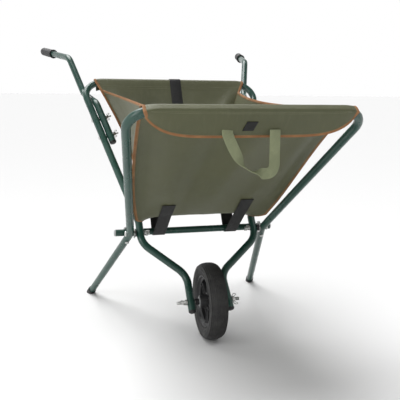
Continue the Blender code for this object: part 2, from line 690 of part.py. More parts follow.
def make_side_panel(group, label, side, looks):
    """The slack side of the bag, between the front and rear panels; its top edge sags."""
    clear = CANVAS + 0.0012
    clear_side = Vector((0.002, 0, 0))
    rows = []
    for v in (0.0, 0.10, 0.24, 0.40, 0.56, 0.71, 0.85, 0.97):
        front = front_point(1.0, SIDE_TOP_FRONT + (1 - SIDE_TOP_FRONT) * v) + PANEL_IN * clear - clear_side
        rear = rear_point(1.0, SIDE_TOP_REAR + (1 - SIDE_TOP_REAR) * v) + REAR_IN * clear - clear_side
        slack = (1 - v) ** 1.5
        row = []
        for u in [k / 8 for k in range(9)]:
            bow = 4 * u * (1 - u) * slack
            point = front.lerp(rear, u) - Vector((SIDE_BOW_IN * bow, 0, SIDE_BOW_DOWN * bow))
            row.append(mirrored(point, side))
        rows.append(row)
    group.add("bag_side_" + label, sheet(rows, CANVAS), looks["canvas"])


def make_floor(group, looks):
    rows = []
    for t in (0.0, 0.5, 1.0):
        y = BAG_FLOOR_FRONT[0] + (BAG_FLOOR_REAR[0] - BAG_FLOOR_FRONT[0]) * t
        half = BAG_FLOOR_FRONT[1] + (BAG_FLOOR_REAR[1] - BAG_FLOOR_FRONT[1]) * t
        rows.append([Vector((s * half, y, BAG_FLOOR_HEIGHT)) + bottom_rise(s, 1.0) * (1 - t)
                     for s in shares(10)])
    group.add("bag_floor", sheet(rows, CANVAS), looks["canvas"])


def make_bottom_strap(group, label, side, looks):
    """Webbing sewn to the front panel, led round the crossbar and up to the rear panel."""
    lift = CANVAS / 2 + GAP * 2 + WEBBING / 2
    strap_edge = BOTTOM_STRAP_X + STRAP_WIDTH / 2
    front_share = strap_edge / front_half_width(1)
    top = BOTTOM_STRAP_TOP[label]

    def in_front(v):
        return front_point(front_share, v) - PANEL_IN * lift

    def behind(v):
        return rear_point(0, v) - REAR_IN * lift

    front_low = in_front(1.0) + PANEL_DOWN * 0.003
    rear_low = behind(1.0) + REAR_DOWN * 0.002
    centre = Vector((0.0, CROSSBAR.y, CROSSBAR.z))
    wrap = CROSSBAR_R + GAP * 2 + WEBBING / 2

    def tangent_angle(point, turn):
        away = point - centre
        return math.atan2(away.z, away.y) + turn * math.acos(wrap / away.length)

    first = tangent_angle(front_low, 1)
    last = tangent_angle(rear_low, -1) + math.tau
    steps = 8
    around = [centre + Vector((0.0, math.cos(a), math.sin(a))) * wrap
              for a in [first + (last - first) * k / steps for k in range(steps + 1)]]
    path = [in_front(top), in_front((1 + top) / 2), front_low] + around + [rear_low, behind(0.93)]
    path = [Vector((side * BOTTOM_STRAP_X, p.y, p.z)) for p in path]
    group.add("bottom_strap_" + label, ribbon(path, [Vector((1, 0, 0))] * len(path), STRAP_WIDTH, WEBBING),
              looks["black_webbing"])


def make_pull_strap(group, looks):
    """A webbing loop sewn to the flap's lower edge; its left leg twists edge-on on the way down."""
    seat = flap_point(0.057, 0.78) - Vector((0, CANVAS / 2 + GAP * 2 + WEBBING / 2, 0))
    # distance along X, drop below the seam, and twist in degrees
    course = ((-0.0602, 0.0000, 0), (-0.0600, 0.0100, 0), (-0.0490, 0.0350, 20), (-0.0370, 0.0580, 55),
              (-0.0260, 0.0760, 80), (-0.0150, 0.0870, 84), (0.0000, 0.0940, 60), (0.0150, 0.0965, 25),
              (0.0300, 0.0975, 8), (0.0430, 0.0930, 0), (0.0495, 0.0800, 0), (0.0508, 0.0600, 0),
              (0.0512, 0.0300, 0), (0.0515, 0.0100, 0), (0.0515, 0.0000, 0))
    path = [Vector((x, seat.y, seat.z - drop)) for x, drop, _ in course]
    widths = []
    for i, (_, _, twist) in enumerate(course):
        run = (path[min(i + 1, len(path) - 1)] - path[max(i - 1, 0)]).normalized()
        flat = Vector((-run.z, 0, run.x))
        angle = math.radians(twist)
        widths.append(flat * math.cos(angle) + Vector((0, 1, 0)) * math.sin(angle))
    group.add("pull_strap", ribbon(path, widths, PULL_STRAP_WIDTH, WEBBING), looks["olive_webbing"])


def build():
    clear_scene()
    looks = {
        "frame_paint": material("frame_paint", (0.012, 0.045, 0.032), 0.35, 0.2),
        "steel": material("steel", (0.60, 0.61, 0.60), 0.30, 1.0),
        "rubber": material("rubber", (0.016, 0.017, 0.017), 0.6),
        "tyre": material("tyre", (0.028, 0.028, 0.028), 0.75),
        "black_plastic": material("black_plastic", (0.018, 0.018, 0.019), 0.45),
        "grey_plastic": material("grey_plastic", (0.35, 0.36, 0.36), 0.45),
        "canvas": material("canvas", (0.090, 0.095, 0.052), 0.85),
        "olive_webbing": material("olive_webbing", (0.22, 0.24, 0.14), 0.8),
        "black_webbing": material("black_webbing", (0.012, 0.012, 0.012), 0.7),
    }
    assembly = Group("barrow", Vector((0.0, FORWARD_SHIFT, 0.0)))
    legs = Group("fold_axis", PIVOT, assembly)
    wheel = Group("wheel_axis", AXLE, assembly)
    make_wheel_frame(assembly, looks)
    make_axle(assembly, looks)
    make_rear_panel(assembly, looks)
    for label, side in SIDES:
        make_side_panel(assembly, label, side, looks)
    make_floor(assembly, looks)
    make_leg_frame(legs, looks)
    make_front_panel(legs, looks)
    make_pull_strap(legs, looks)
    for label, side in SIDES:
        make_bottom_strap(legs, label, side, looks)
    make_wheel(wheel, looks)


build()
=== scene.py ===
"""Folding garden barrow: the finished look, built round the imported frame.

Shapes are drawn in a design frame whose Y = 0 is the fold axis, then moved by SHIFT into the frame's own
coordinates. Metres, +Z up, wheel towards -Y.
"""
import json
from math import acos, asin, atan2, copysign, cos, exp, hypot, pi, radians, sin, sqrt, tan, tau

import bmesh
import bpy
from mathutils import Matrix, Vector


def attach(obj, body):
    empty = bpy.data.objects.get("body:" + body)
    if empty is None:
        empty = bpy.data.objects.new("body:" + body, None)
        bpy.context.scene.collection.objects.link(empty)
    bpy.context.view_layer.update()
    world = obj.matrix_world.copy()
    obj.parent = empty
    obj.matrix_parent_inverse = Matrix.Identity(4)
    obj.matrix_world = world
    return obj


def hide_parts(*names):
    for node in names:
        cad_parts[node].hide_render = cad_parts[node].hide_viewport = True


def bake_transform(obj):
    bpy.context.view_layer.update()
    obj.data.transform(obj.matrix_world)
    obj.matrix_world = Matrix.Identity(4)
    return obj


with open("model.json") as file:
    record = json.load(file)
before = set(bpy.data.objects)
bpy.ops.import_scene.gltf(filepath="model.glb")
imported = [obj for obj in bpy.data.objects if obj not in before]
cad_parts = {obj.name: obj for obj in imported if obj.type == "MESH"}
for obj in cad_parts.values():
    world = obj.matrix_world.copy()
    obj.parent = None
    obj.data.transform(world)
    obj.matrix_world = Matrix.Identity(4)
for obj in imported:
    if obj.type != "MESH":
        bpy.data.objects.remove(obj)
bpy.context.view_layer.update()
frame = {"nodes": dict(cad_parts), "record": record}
BODY_OF = {node: body for body, nodes in frame["record"]["behaviour"]["bodies"].items() for node in nodes}


def vec(*numbers):
    return Vector(numbers)


# ---------------------------------------------------------------- driving dimensions, as in the CAD
SHIFT = vec(0.0, -0.205, 0.0)
TUBE_R = 0.011
TUBE_WALL = 0.0015
GAP = 0.0003
PIVOT_HEIGHT = 0.284
FRONT_RIM = vec(0.286, -0.462, 0.659)
LEG_PIVOT = vec(0.205, 0.0, PIVOT_HEIGHT)
FOOT = vec(0.293, 0.342, 0.0)
REAR_RIM = vec(0.310, 0.394, 0.720)
FORK_BEND = vec(0.053, -0.075, 0.170)
FORK_END = vec(0.056, -0.157, 0.090)
FRONT_CORNER_R = 0.062
REAR_CORNER_R = 0.060
KNEE_R = 0.060
FRAME_HALF = 0.176
PIVOT_RUN_SLOPE = radians(51)
KNEE_ABOVE_PIVOT = 0.036
KNEE_BELOW_PIVOT = 0.032
WHEEL_R = 0.109
AXLE = vec(0.0, -0.136, WHEEL_R)
AXLE_R = 0.005
FORK_HALF = 0.0552
CROSSBAR_R = 0.010
CROSSBAR_WALL = 0.0012
CROSSBAR_HALF = 0.243
CROSSBAR_DOWN = 0.035
HANDLE_STEPS = ((-0.262, -0.003, -0.0240), (-0.096, -0.003, -0.0240), (0.012, 0.072, -0.021),
                (0.184, 0.070, -0.0206))
HANDLE_ARM = vec(0.077, 0.308, 0.036)
HANDLE_BEND_R = (0.050, 0.050, 0.055)
HANDLE_BOLTS = {"upper": -0.168, "lower": -0.240}
GRIP_LENGTH = 0.130
BOLT_R = 0.003
PIVOT_BOLT_R = 0.004
FOOT_CAP_LENGTH = 0.017
HUB_HALF = 0.030
HEM_R = TUBE_R + 0.0014
FRONT_PANEL_LENGTH = 0.523
BAG_BOTTOM_REAR = vec(0.0, 0.086, 0.338)
FLAP_EDGE_HEIGHT = 0.602

# ---------------------------------------------------------------- dimensions of the soft pieces
CLOTH = 0.0012
STRAP = 0.0018
TAPE_WIDTH = 0.0085
TAPE_THICK = 0.0030
BOTTOM_RISE = 0.011
SIDE_TOP_REAR = 0.080             # share of the rear panel's edge above the side panel's corner
SIDE_BOW_IN = 0.046
SIDE_BOW_DOWN = 0.015
FLAP_HALF = 0.246
STRAP_WIDTH = 0.038
STRAP_CLEAR = 0.0004
BOTTOM_STRAP_X = 0.113
BOTTOM_STRAP_TOP = {"left": 0.860, "right": 0.832}     # share of the front panel above each strap's end
REAR_STRAP_X = 0.015
REAR_STRAP_TAIL = 0.045
REAR_HEM_TAIL = 0.022
PULL_STRAP_WIDTH = 0.025
PULL_STRAP_X = 0.057
BOX_INSET = 0.004                 # from a strap's edge to the sewn box on it
SLEEVE_EASE = 1.4                 # how loosely the sleeves' ends sit over the corner bends

PIVOT = vec(0.0, 0.0, PIVOT_HEIGHT)
PIVOT_RUN = vec(0.0, cos(PIVOT_RUN_SLOPE), sin(PIVOT_RUN_SLOPE))
SIDE_KNEE = PIVOT + vec(FRAME_HALF, 0, 0) + PIVOT_RUN * KNEE_ABOVE_PIVOT
FORK_KNEE = PIVOT + vec(FRAME_HALF, 0, 0) - PIVOT_RUN * KNEE_BELOW_PIVOT
SIDE_RUN = (REAR_RIM - SIDE_KNEE).normalized()
BEHIND_FRAME = vec(0.0, SIDE_RUN.z, -SIDE_RUN.y).normalized()
LEG_DOWN = (FOOT - LEG_PIVOT).normalized()
CROSSBAR_OFF = vec(0.0, -LEG_DOWN.z, LEG_DOWN.y).normalized()
LEG_AT_CROSSBAR = LEG_PIVOT + LEG_DOWN * CROSSBAR_DOWN
CROSSBAR = LEG_AT_CROSSBAR + CROSSBAR_OFF * (TUBE_R + CROSSBAR_R + GAP)
PANEL_DOWN = vec(0.0, -FRONT_RIM.y, LEG_PIVOT.z - FRONT_RIM.z).normalized()
PANEL_IN = vec(0.0, -PANEL_DOWN.z, PANEL_DOWN.y)
FRONT_MID = vec(0.0, FRONT_RIM.y, FRONT_RIM.z)
REAR_MID = vec(0.0, REAR_RIM.y, REAR_RIM.z)
REAR_DOWN = (BAG_BOTTOM_REAR - REAR_MID).normalized()
REAR_IN = vec(0.0, REAR_DOWN.z, -REAR_DOWN.y)
REAR_LENGTH = (BAG_BOTTOM_REAR - REAR_MID).length
RIM_RUN_DOWN = -vec(0.0, SIDE_RUN.y, SIDE_RUN.z).normalized()
SIDES = (("left", -1.0), ("right", 1.0))
X = vec(1.0, 0.0, 0.0)


def yz(angle):
    """A unit vector in the side view, at an angle from straight back."""
    return vec(0.0, cos(angle), sin(angle))


# ---------------------------------------------------------------- camera, stage and light
def add_object(name, data):
    made = bpy.data.objects.new(name, data)
    bpy.context.scene.collection.objects.link(made)
    return made


def add_node(tree, kind, links=(), values=(), **settings):
    made = tree.nodes.new("ShaderNode" + kind)
    for key, value in settings.items():
        setattr(made, key, value)
    for socket, value in dict(values).items():
        made.inputs[socket].default_value = value
    for socket, source in dict(links).items():
        tree.links.new(source, made.inputs[socket])
    return made


def add_span(tree, value, low, high, to_low, to_high):
    """Maps a value's range from low and high to two others, and stops there."""
    limits = {"From Min": low, "From Max": high, "To Min": to_low, "To Max": to_high}
    return add_node(tree, "MapRange", {"Value": value}, limits).outputs["Result"]


CAMERA_PLACE = vec(-0.4789, -1.9673, 0.7059)
CAMERA_ANGLES = (-15.355, 10.215, 0.737)      # azimuth, elevation and roll
LENS_MM = 55.97


def place_camera():
    """The photograph's viewpoint, found from the tube frames' proportions."""
    azimuth, elevation, roll = (radians(angle) for angle in CAMERA_ANGLES)
    forward = vec(-sin(azimuth) * cos(elevation), cos(azimuth) * cos(elevation),
                      -sin(elevation))
    right = forward.cross(vec(0, 0, 1)).normalized()
    up = right.cross(forward)
    turned_right = right * cos(roll) + up * sin(roll)
    turned_up = -right * sin(roll) + up * cos(roll)
    data = bpy.data.cameras.new("camera")
    data.sensor_width = 36.0
    data.lens = LENS_MM
    camera = add_object("camera", data)
    rotation = Matrix((turned_right, turned_up, -forward)).transposed().to_4x4()
    camera.matrix_world = Matrix.Translation(CAMERA_PLACE) @ rotation
    bpy.context.scene.camera = camera


def area_light(name, place, target, size, power):
    data = bpy.data.lights.new(name, "AREA")
    data.shape = "RECTANGLE"
    data.size, data.size_y = size
    data.energy = power
    lamp = add_object(name, data)
    lamp.location = place
    lamp.rotation_euler = (Vector(target) - Vector(place)).to_track_quat("-Z", "Y").to_euler()


def sun(name, direction, power, angle):
    """A very soft overhead light that comes along direction."""
    data = bpy.data.lights.new(name, "SUN")
    data.energy = power
    data.angle = radians(angle)
    add_object(name, data).rotation_euler = Vector(direction).to_track_quat("-Z", "Y").to_euler()


def set_stage():
    """White all round at eye level, darker higher up and behind the viewer, with three soft lights."""
    world = bpy.data.worlds.new("studio")
    bpy.context.scene.world = world
    world.use_nodes = True
    tree = world.node_tree
    apart = add_node(tree, "SeparateXYZ", {0: add_node(tree, "TexCoord").outputs["Generated"]})
    by_height = add_span(tree, apart.outputs["Z"], 0.18, 0.55, 1.0, 0.28)
    by_side = add_span(tree, apart.outputs["Y"], -0.6, 0.2, 0.55, 1.0)
    both = add_node(tree, "Math", {0: by_height, 1: by_side}, operation="MULTIPLY")
    background = tree.nodes["Background"]
    tree.links.new(both.outputs[0], background.inputs["Strength"])
    background.inputs["Color"].default_value = (1.0, 1.0, 1.0, 1.0)
    bm = bmesh.new()
    bmesh.ops.create_grid(bm, x_segments=1, y_segments=1, size=60.0)
    mesh = bpy.data.meshes.new("floor")
    bm.to_mesh(mesh)
    bm.free()
    white = bpy.data.materials.new("floor_pale")
    white.use_nodes = True
    shader = white.node_tree.nodes["Principled BSDF"]
    shader.inputs["Base Color"].default_value = (0.68, 0.68, 0.68, 1)
    shader.inputs["Roughness"].default_value = 1.0
    shader.inputs["Specular IOR Level"].default_value = 0.0
    mesh.materials.append(white)
    add_object("floor", mesh)
    sun("overhead", (0.25, -0.45, -1.0), 3.8, 50.0)
    area_light("key_left", (-2.4, -1.2, 1.5), (0.0, -0.2, 0.40), (1.2, 1.8), 24)
    area_light("front_strip", (0.6, -2.0, 2.7), (0.0, -0.66, 0.66), (3.4, 0.7), 20)


# ---------------------------------------------------------------- materials
class Look:
    """A procedural material: a Principled shader and the nodes that feed it."""

    def __init__(self, name, metallic=0.0, **sockets):
        self.material = bpy.data.materials.new(name + "_look")
        self.material.use_nodes = True
        self.tree = self.material.node_tree
        self.shader = self.tree.nodes["Principled BSDF"]
        self.shader.inputs["Metallic"].default_value = metallic
        for socket, value in sockets.items():
            self.shader.inputs[socket.replace("_", " ")].default_value = value
        self.normal = None

    def node(self, kind, links=(), values=(), **settings):
        return add_node(self.tree, kind, links, values, **settings)

    def place(self):
        return self.node("TexCoord").outputs["Object"]

    def uv(self):
        return self.node("UVMap", uv_map="cloth").outputs["UV"]

    def noise(self, where, scale, detail=3.0, rough=0.55, stretch=None):
        if stretch:
            where = self.node("VectorMath", {0: where}, {1: stretch}, operation="MULTIPLY").outputs[0]
        return self.node("TexNoise", {"Vector": where},
                         {"Scale": scale, "Detail": detail, "Roughness": rough}).outputs["Fac"]

    def maths(self, operation, a, b=None):
        inputs = [(index, value) for index, value in enumerate((a, b)) if value is not None]
        numbers = {index: value for index, value in inputs if isinstance(value, float)}
        links = {index: value for index, value in inputs if index not in numbers}
        return self.node("Math", links, numbers, operation=operation).outputs[0]

    def wave(self, value, period):
        return self.maths("SINE", self.maths("MULTIPLY", value, tau / period))

    def span(self, value, low, high, to_low, to_high):
        return add_span(self.tree, value, low, high, to_low, to_high)

    def mix(self, share, a, b):
        inputs = {6: a, 7: b}
        colours = {index: (*value, 1.0) for index, value in inputs.items() if isinstance(value, tuple)}
        links = {index: value for index, value in inputs.items() if index not in colours}
        return self.node("Mix", {0: share, **links}, colours, data_type="RGBA").outputs[2]

    def mottled(self, where, dark, light, scale, detail, low=0.3, high=0.7, rough=0.55):
        """Two colours in soft patches."""
        share = self.span(self.noise(where, scale, detail, rough), low, high, 0.0, 1.0)
        return self.mix(share, dark, light)

    def uneven(self, where, scale, low, high, detail=3.0):
        """A value, such as the roughness, that wanders between low and high."""
        return self.span(self.noise(where, scale, detail), 0.3, 0.7, low, high)

    def bump(self, height, strength, distance):
        made = self.node("Bump", {"Height": height}, {"Strength": strength, "Distance": distance})
        if self.normal is not None:
            self.tree.links.new(self.normal, made.inputs["Normal"])
        self.normal = made.outputs["Normal"]

    def done(self, colour=None, roughness=None):
        if colour is not None:
            self.tree.links.new(colour, self.shader.inputs["Base Color"])
        if roughness is not None:
            self.tree.links.new(roughness, self.shader.inputs["Roughness"])
        if self.normal is not None:
            self.tree.links.new(self.normal, self.shader.inputs["Normal"])
        return self.material


def paint_look():
    """Glossy dark green powder coat, with faint orange peel, dust and light scuffs."""
    look = Look("frame_paint", Coat_Weight=0.15, Coat_Roughness=0.10, Specular_IOR_Level=0.45)
    where = look.place()
    base = look.mottled(where, (0.010, 0.046, 0.034), (0.016, 0.060, 0.044), 7.0, 4.0, 0.35, 0.65)
    scratch = look.span(look.noise(where, 55.0, 6.0, 0.7, (1.0, 0.35, 0.35)), 0.68, 0.80, 0.0, 0.35)
    base = look.mix(scratch, base, (0.10, 0.15, 0.13))
    look.bump(look.noise(where, 420.0, 2.0), 0.10, 0.0004)
    return look.done(base, look.uneven(where, 24.0, 0.22, 0.40))


def steel_look():
    look = Look("zinc_steel", metallic=1.0)
    where = look.place()
    tone = look.mottled(where, (0.42, 0.43, 0.42), (0.68, 0.68, 0.66), 60.0, 4.0)
    look.bump(look.noise(where, 900.0, 3.0), 0.12, 0.0003)
    return look.done(tone, look.uneven(where, 140.0, 0.22, 0.46, 4.0))


def moulded_look(name, dark, light, rough, grain, bump):
    look = Look(name)
    where = look.place()
    tone = look.mottled(where, dark, light, 18.0, 4.0, 0.35, 0.65)
    look.bump(look.noise(where, grain, 3.0, 0.6), bump, 0.0005)
    return look.done(tone, look.uneven(where, 70.0, rough - 0.08, rough + 0.08))


def tyre_look():
    """Matt grey-black rubber with dust on it."""
    look = Look("tyre_rubber")
    where = look.place()
    tone = look.mottled(where, (0.020, 0.020, 0.020), (0.042, 0.041, 0.039), 26.0, 6.0, 0.40, 0.72, 0.65)
    look.bump(look.noise(where, 240.0, 5.0, 0.7), 0.28, 0.0008)
    return look.done(tone, look.uneven(where, 60.0, 0.62, 0.82))


def weave(look, uv, pitch_u, pitch_v):
    """Height of a plain weave: one crossing for each pair of yarns."""
    apart = look.node("SeparateXYZ", {0: uv})
    waves = look.wave(apart.outputs[0], pitch_u), look.wave(apart.outputs[1], pitch_v)
    return look.maths("MULTIPLY", *waves), apart


def canvas_look():
    """Heavy woven canvas: yarns with painted shade in the weave's low points, slubs, soft creases and a
    little fading.
    """
    look = Look("olive_canvas", Sheen_Weight=0.05, Sheen_Roughness=0.5, Specular_IOR_Level=0.50)
    uv = look.uv()
    height, _ = weave(look, uv, 0.0016, 0.0016)
    cloud = look.noise(uv, 5.0, 5.0, 0.6)
    base = look.mix(look.span(cloud, 0.35, 0.65, 0.0, 1.0), (0.068, 0.072, 0.027), (0.086, 0.090, 0.036))
    slub = look.noise(uv, 160.0, 2.0, 0.5, (1.0, 0.18, 1.0))
    base = look.mix(look.span(slub, 0.50, 0.75, 0.0, 0.35), base, (0.112, 0.117, 0.054))
    # painted shade: the colour goes darker where the weave is low, between the yarns
    base = look.mix(look.span(height, -1.0, 1.0, 0.30, 0.0), base, (0.030, 0.032, 0.012))
    look.bump(look.noise(uv, 16.0, 4.0), 0.35, 0.004)
    look.bump(height, 0.30, 0.00035)
    return look.done(base, look.span(cloud, 0.3, 0.7, 0.42, 0.52))


def webbing_look(name, dark, light, rib, rough):
    """Woven strap: ribs along it, crossed by fine picks, with painted shade in the grooves between ribs and a
    painted highlight on their tops.
    """
    look = Look(name, Specular_IOR_Level=0.35)
    uv = look.uv()
    height, apart = weave(look, uv, rib, 0.0016)
    ribs = look.maths("ABSOLUTE", look.wave(apart.outputs[0], 2 * rib))
    # painted shade and highlight: the dark colour fills the grooves between ribs, the light colour their tops
    tone = look.mix(look.span(ribs, 0.0, 1.0, 0.0, 1.0), dark, light)
    worn = look.span(look.noise(uv, 30.0, 5.0, 0.65), 0.45, 0.75, 0.0, 0.4)
    tone = look.mix(worn, tone, tuple(min(1.0, c * 1.35) for c in light))
    look.bump(ribs, 0.55, 0.0005)
    look.bump(height, 0.40, 0.0003)
    return look.done(tone, look.uneven(uv, 90.0, rough - 0.06, rough + 0.08))


def tape_look():
    """Tan binding tape, folded over the cloth's edge and sewn."""
    look = Look("tan_binding", Specular_IOR_Level=0.35)
    uv = look.uv()
    height, _ = weave(look, uv, 0.0011, 0.0011)
    worn = look.noise(uv, 26.0, 5.0, 0.6)
    tone = look.mix(look.span(worn, 0.35, 0.7, 0.0, 1.0), (0.225, 0.098, 0.036), (0.33, 0.165, 0.070))
    look.bump(worn, 0.30, 0.0015)
    look.bump(height, 0.35, 0.0003)
    return look.done(tone, look.span(worn, 0.3, 0.7, 0.62, 0.80))


LOOKS = {}


def make_looks():
    LOOKS.update(frame_paint=paint_look(), steel=steel_look(), tyre=tyre_look(), canvas=canvas_look(),
                 piping=tape_look())
    for slot, name, dark, light, rough, grain, bump in (
            ("rubber", "grip_rubber", (0.014, 0.014, 0.015), (0.030, 0.030, 0.031), 0.58, 320.0, 0.22),
            ("black_plastic", "black_nylon", (0.012, 0.012, 0.013), (0.024, 0.024, 0.025), 0.40, 260.0, 0.12),
            ("grey_plastic", "grey_nylon", (0.30, 0.31, 0.31), (0.42, 0.43, 0.43), 0.48, 260.0, 0.12),
            ("olive_thread", "olive_thread", (0.16, 0.17, 0.095), (0.24, 0.25, 0.15), 0.6, 900.0, 0.2),
            ("black_thread", "black_thread", (0.012, 0.012, 0.012), (0.03, 0.03, 0.03), 0.5, 900.0, 0.2)):
        LOOKS[slot] = moulded_look(name, dark, light, rough, grain, bump)
    # webbing: the dark colour is painted shade in the rib grooves, the light colour a painted highlight on
    # the rib tops
    for name, dark, light, rib, rough in (
            ("olive_webbing", (0.115, 0.128, 0.068), (0.265, 0.290, 0.170), 0.0026, 0.74),
            ("black_webbing", (0.004, 0.004, 0.004), (0.016, 0.016, 0.016), 0.0022, 0.62)):
        LOOKS[name] = webbing_look(name, dark, light, rib, rough)


# ---------------------------------------------------------------- mesh helpers
def mirrored(point, side):
    return vec(point.x * side, point.y, point.z)


def piece(name, bm, look, body=None, stands_for=(), sharp=38.0):
    """Turns a bmesh drawn in the design frame into a piece. It rides on body, or on the body of the CAD node
    it stands for; for body "bag" or a pair of points, its transform is only baked into its mesh."""
    bmesh.ops.translate(bm, verts=bm.verts, vec=SHIFT)
    bmesh.ops.recalc_face_normals(bm, faces=bm.faces)
    mesh = bpy.data.meshes.new(name)
    bm.to_mesh(mesh)
    bm.free()
    mesh.shade_smooth()
    mesh.set_sharp_from_angle(angle=radians(sharp))
    mesh.materials.append(LOOKS[look])
    made = add_object(name, mesh)
    if body == "bag":
        bag_blend(made)
    elif isinstance(body, tuple):
        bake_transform(made)
    else:
        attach(made, body or BODY_OF[stands_for[0]])
    if stands_for:
        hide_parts(*stands_for)
    return made


BLEND_START = vec(0.0, 0.375, 0.5)
BLEND_END = vec(0.0, -0.440, 0.5)


def bag_blend(made):
    """Bakes a sewn piece's transform into its mesh."""
    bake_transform(made)


def bag_share(point):
    """How far a point of the bag is from BLEND_START towards BLEND_END, from 0 on the wheel frame to 1 on the
    leg frame.
    """
    return (BLEND_START.y - point.y) / (BLEND_START.y - BLEND_END.y)


def rounded_path(corners, radii, step=radians(5)):
    points = [corners[0]]
    for before, corner, after, radius in zip(corners, corners[1:], corners[2:], radii):
        arriving = (corner - before).normalized()
        leaving = (after - corner).normalized()
        turn = arriving.angle(leaving)
        centre = corner + (leaving - arriving).normalized() * (radius / cos(turn / 2))
        start = corner - arriving * (radius * tan(turn / 2)) - centre
        axis = arriving.cross(leaving).normalized()
        steps = max(3, round(turn / step))
        for i in range(steps + 1):
            points.append(centre + Matrix.Rotation(turn * i / steps, 3, axis) @ start)
    points.append(corners[-1])
    return points


def path_frames(points):
    runs = [(b - a).normalized() for a, b in zip(points, points[1:])]
    tangents = [runs[0]] + [(a + b).normalized() for a, b in zip(runs, runs[1:])] + [runs[-1]]
    normal = tangents[0].orthogonal().normalized()
    frames = []
    previous = tangents[0]
    for tangent in tangents:
        normal = previous.rotation_difference(tangent) @ normal
        frames.append((tangent, normal))
        previous = tangent
    return frames


def bridge(bm, rings, closed=False, caps=True):
    """Faces between rings of equal length: joined end to end, capped, or left open."""
    pairs = list(zip(rings, rings[1:]))
    if closed:
        pairs.append((rings[-1], rings[0]))
    for a, b in pairs:
        for i in range(len(a)):
            j = (i + 1) % len(a)
            bm.faces.new((a[i], a[j], b[j], b[i]))
    if caps and not closed:
        bm.faces.new(rings[0])
        bm.faces.new(rings[-1])


def circle(bm, centre, side_a, side_b, radius, sides):
    return [bm.verts.new(centre + (side_a * cos(tau * k / sides)
                                   + side_b * sin(tau * k / sides)) * radius)
            for k in range(sides)]


def hollow_tube(bm, points, radius, wall, sides=30):
    outside = []
    inside = []
    for point, (tangent, normal) in zip(points, path_frames(points)):
        across = tangent.cross(normal)
        outside.append(circle(bm, point, normal, across, radius, sides))
        inside.append(circle(bm, point, normal, across, radius - wall, sides))
    bridge(bm, outside + inside[::-1], closed=True)


def solid_rod(bm, points, radius, sides=8):
    """A round wire along a path, with flat ends."""
    bridge(bm, [circle(bm, point, normal, tangent.cross(normal), radius, sides)
                for point, (tangent, normal) in zip(points, path_frames(points))])


def turned(bm, profile, base, axis, sides):
    """Turns a profile of (radius, height) about an axis. One that starts on the axis ends on it too."""
    axis = axis.normalized()
    side_a = axis.orthogonal().normalized()
    side_b = axis.cross(side_a)
    solid = profile[0][0] == 0.0
    rings = [circle(bm, base + axis * height, side_a, side_b, radius, sides)
             for radius, height in (profile[1:-1] if solid else profile)]
    bridge(bm, rings, closed=not solid, caps=False)
    if solid:
        for height, ring in ((profile[0][1], rings[0]), (profile[-1][1], rings[-1])):
            tip = bm.verts.new(base + axis * height)
            for k in range(sides):
                bm.faces.new((tip, ring[k], ring[(k + 1) % sides]))


def lathe(node, ending, profile, base, axis, sides, look, sharp=38.0):
    """A turned piece that stands for one CAD node."""
    bm = bmesh.new()
    turned(bm, profile, base, axis, sides)
    piece(node + ending, bm, look, stands_for=(node,), sharp=sharp)


def cloth_layer(bm):
    """The UV layer, in metres, that the woven materials read."""
    return bm.loops.layers.uv.get("cloth") or bm.loops.layers.uv.new("cloth")


def cloth_solid(bm, rows, uvs, thickness):
    """A closed sheet of even thickness on a grid of mid-surface points, with UVs in metres."""
    layer = cloth_layer(bm)
    count = len(rows)
    across = len(rows[0])
    sheets = []
    place = {}
    for shift in (thickness / 2, -thickness / 2):
        grid = []
        for i in range(count):
            line = []
            for j in range(across):
                along = rows[min(i + 1, count - 1)][j] - rows[max(i - 1, 0)][j]
                over = rows[i][min(j + 1, across - 1)] - rows[i][max(j - 1, 0)]
                vert = bm.verts.new(rows[i][j] + along.cross(over).normalized() * shift)
                place[vert] = uvs[i][j]
                line.append(vert)
            grid.append(line)
        sheets.append(grid)
    faces = []
    for grid in sheets:
        for i in range(count - 1):
            for j in range(across - 1):
                faces.append(bm.faces.new((grid[i][j], grid[i + 1][j], grid[i + 1][j + 1], grid[i][j + 1])))
    front, back = sheets
    rim = ([(0, j) for j in range(across)] + [(i, across - 1) for i in range(1, count)]
           + [(count - 1, j) for j in range(across - 2, -1, -1)] + [(i, 0) for i in range(count - 2, 0, -1)])
    for (i, j), (k, m) in zip(rim, rim[1:] + rim[:1]):
        faces.append(bm.faces.new((front[i][j], front[k][m], back[k][m], back[i][j])))
    for face in faces:
        for loop in face.loops:
            loop[layer].uv = place[loop.vert]


def band(bm, points, directions, width, thickness):
    """Webbing or tape along a path, with rounded edges and its own width direction at each point."""
    layer = cloth_layer(bm)
    half = width / 2
    thin = thickness / 2
    flat = half - thin * 0.9
    edge = thin * 0.35
    outline = ((-half, -edge), (-flat, -thin), (0.0, -thin), (flat, -thin), (half, -edge), (half, edge),
               (flat, thin), (0.0, thin), (-flat, thin), (-half, edge))
    rings = []
    place = {}
    travelled = 0.0
    previous = points[0]
    for (tangent, _), point, direction in zip(path_frames(points), points, directions):
        travelled += (point - previous).length
        previous = point
        across = (direction - tangent * direction.dot(tangent)).normalized()
        up = tangent.cross(across).normalized()
        ring = [bm.verts.new(point + across * a + up * b) for a, b in outline]
        place.update((vert, (a, travelled)) for vert, (a, _) in zip(ring, outline))
        rings.append(ring)
    bridge(bm, rings)
    for vert, uv in place.items():
        for loop in vert.link_loops:
            loop[layer].uv = uv


def strap(name, points, directions, width, thickness, look, body=None, stands_for=()):
    bm = bmesh.new()
    band(bm, points, directions, width, thickness)
    return piece(name, bm, look, body, stands_for=stands_for, sharp=50.0)


def stitch(bm, start, end, out, radius=0.00038):
    """One thread stitch lying on the cloth, plump in the middle and sunk at both ends."""
    side = (end - start).normalized().cross(out).normalized()
    bridge(bm, [circle(bm, start.lerp(end, share) + out * (radius * lift), side, out, radius * swell, 5)
                for share, swell, lift in ((0.0, 0.45, -0.3), (0.25, 1.0, 0.55), (0.75, 1.0, 0.55),
                                           (1.0, 0.45, -0.3))])


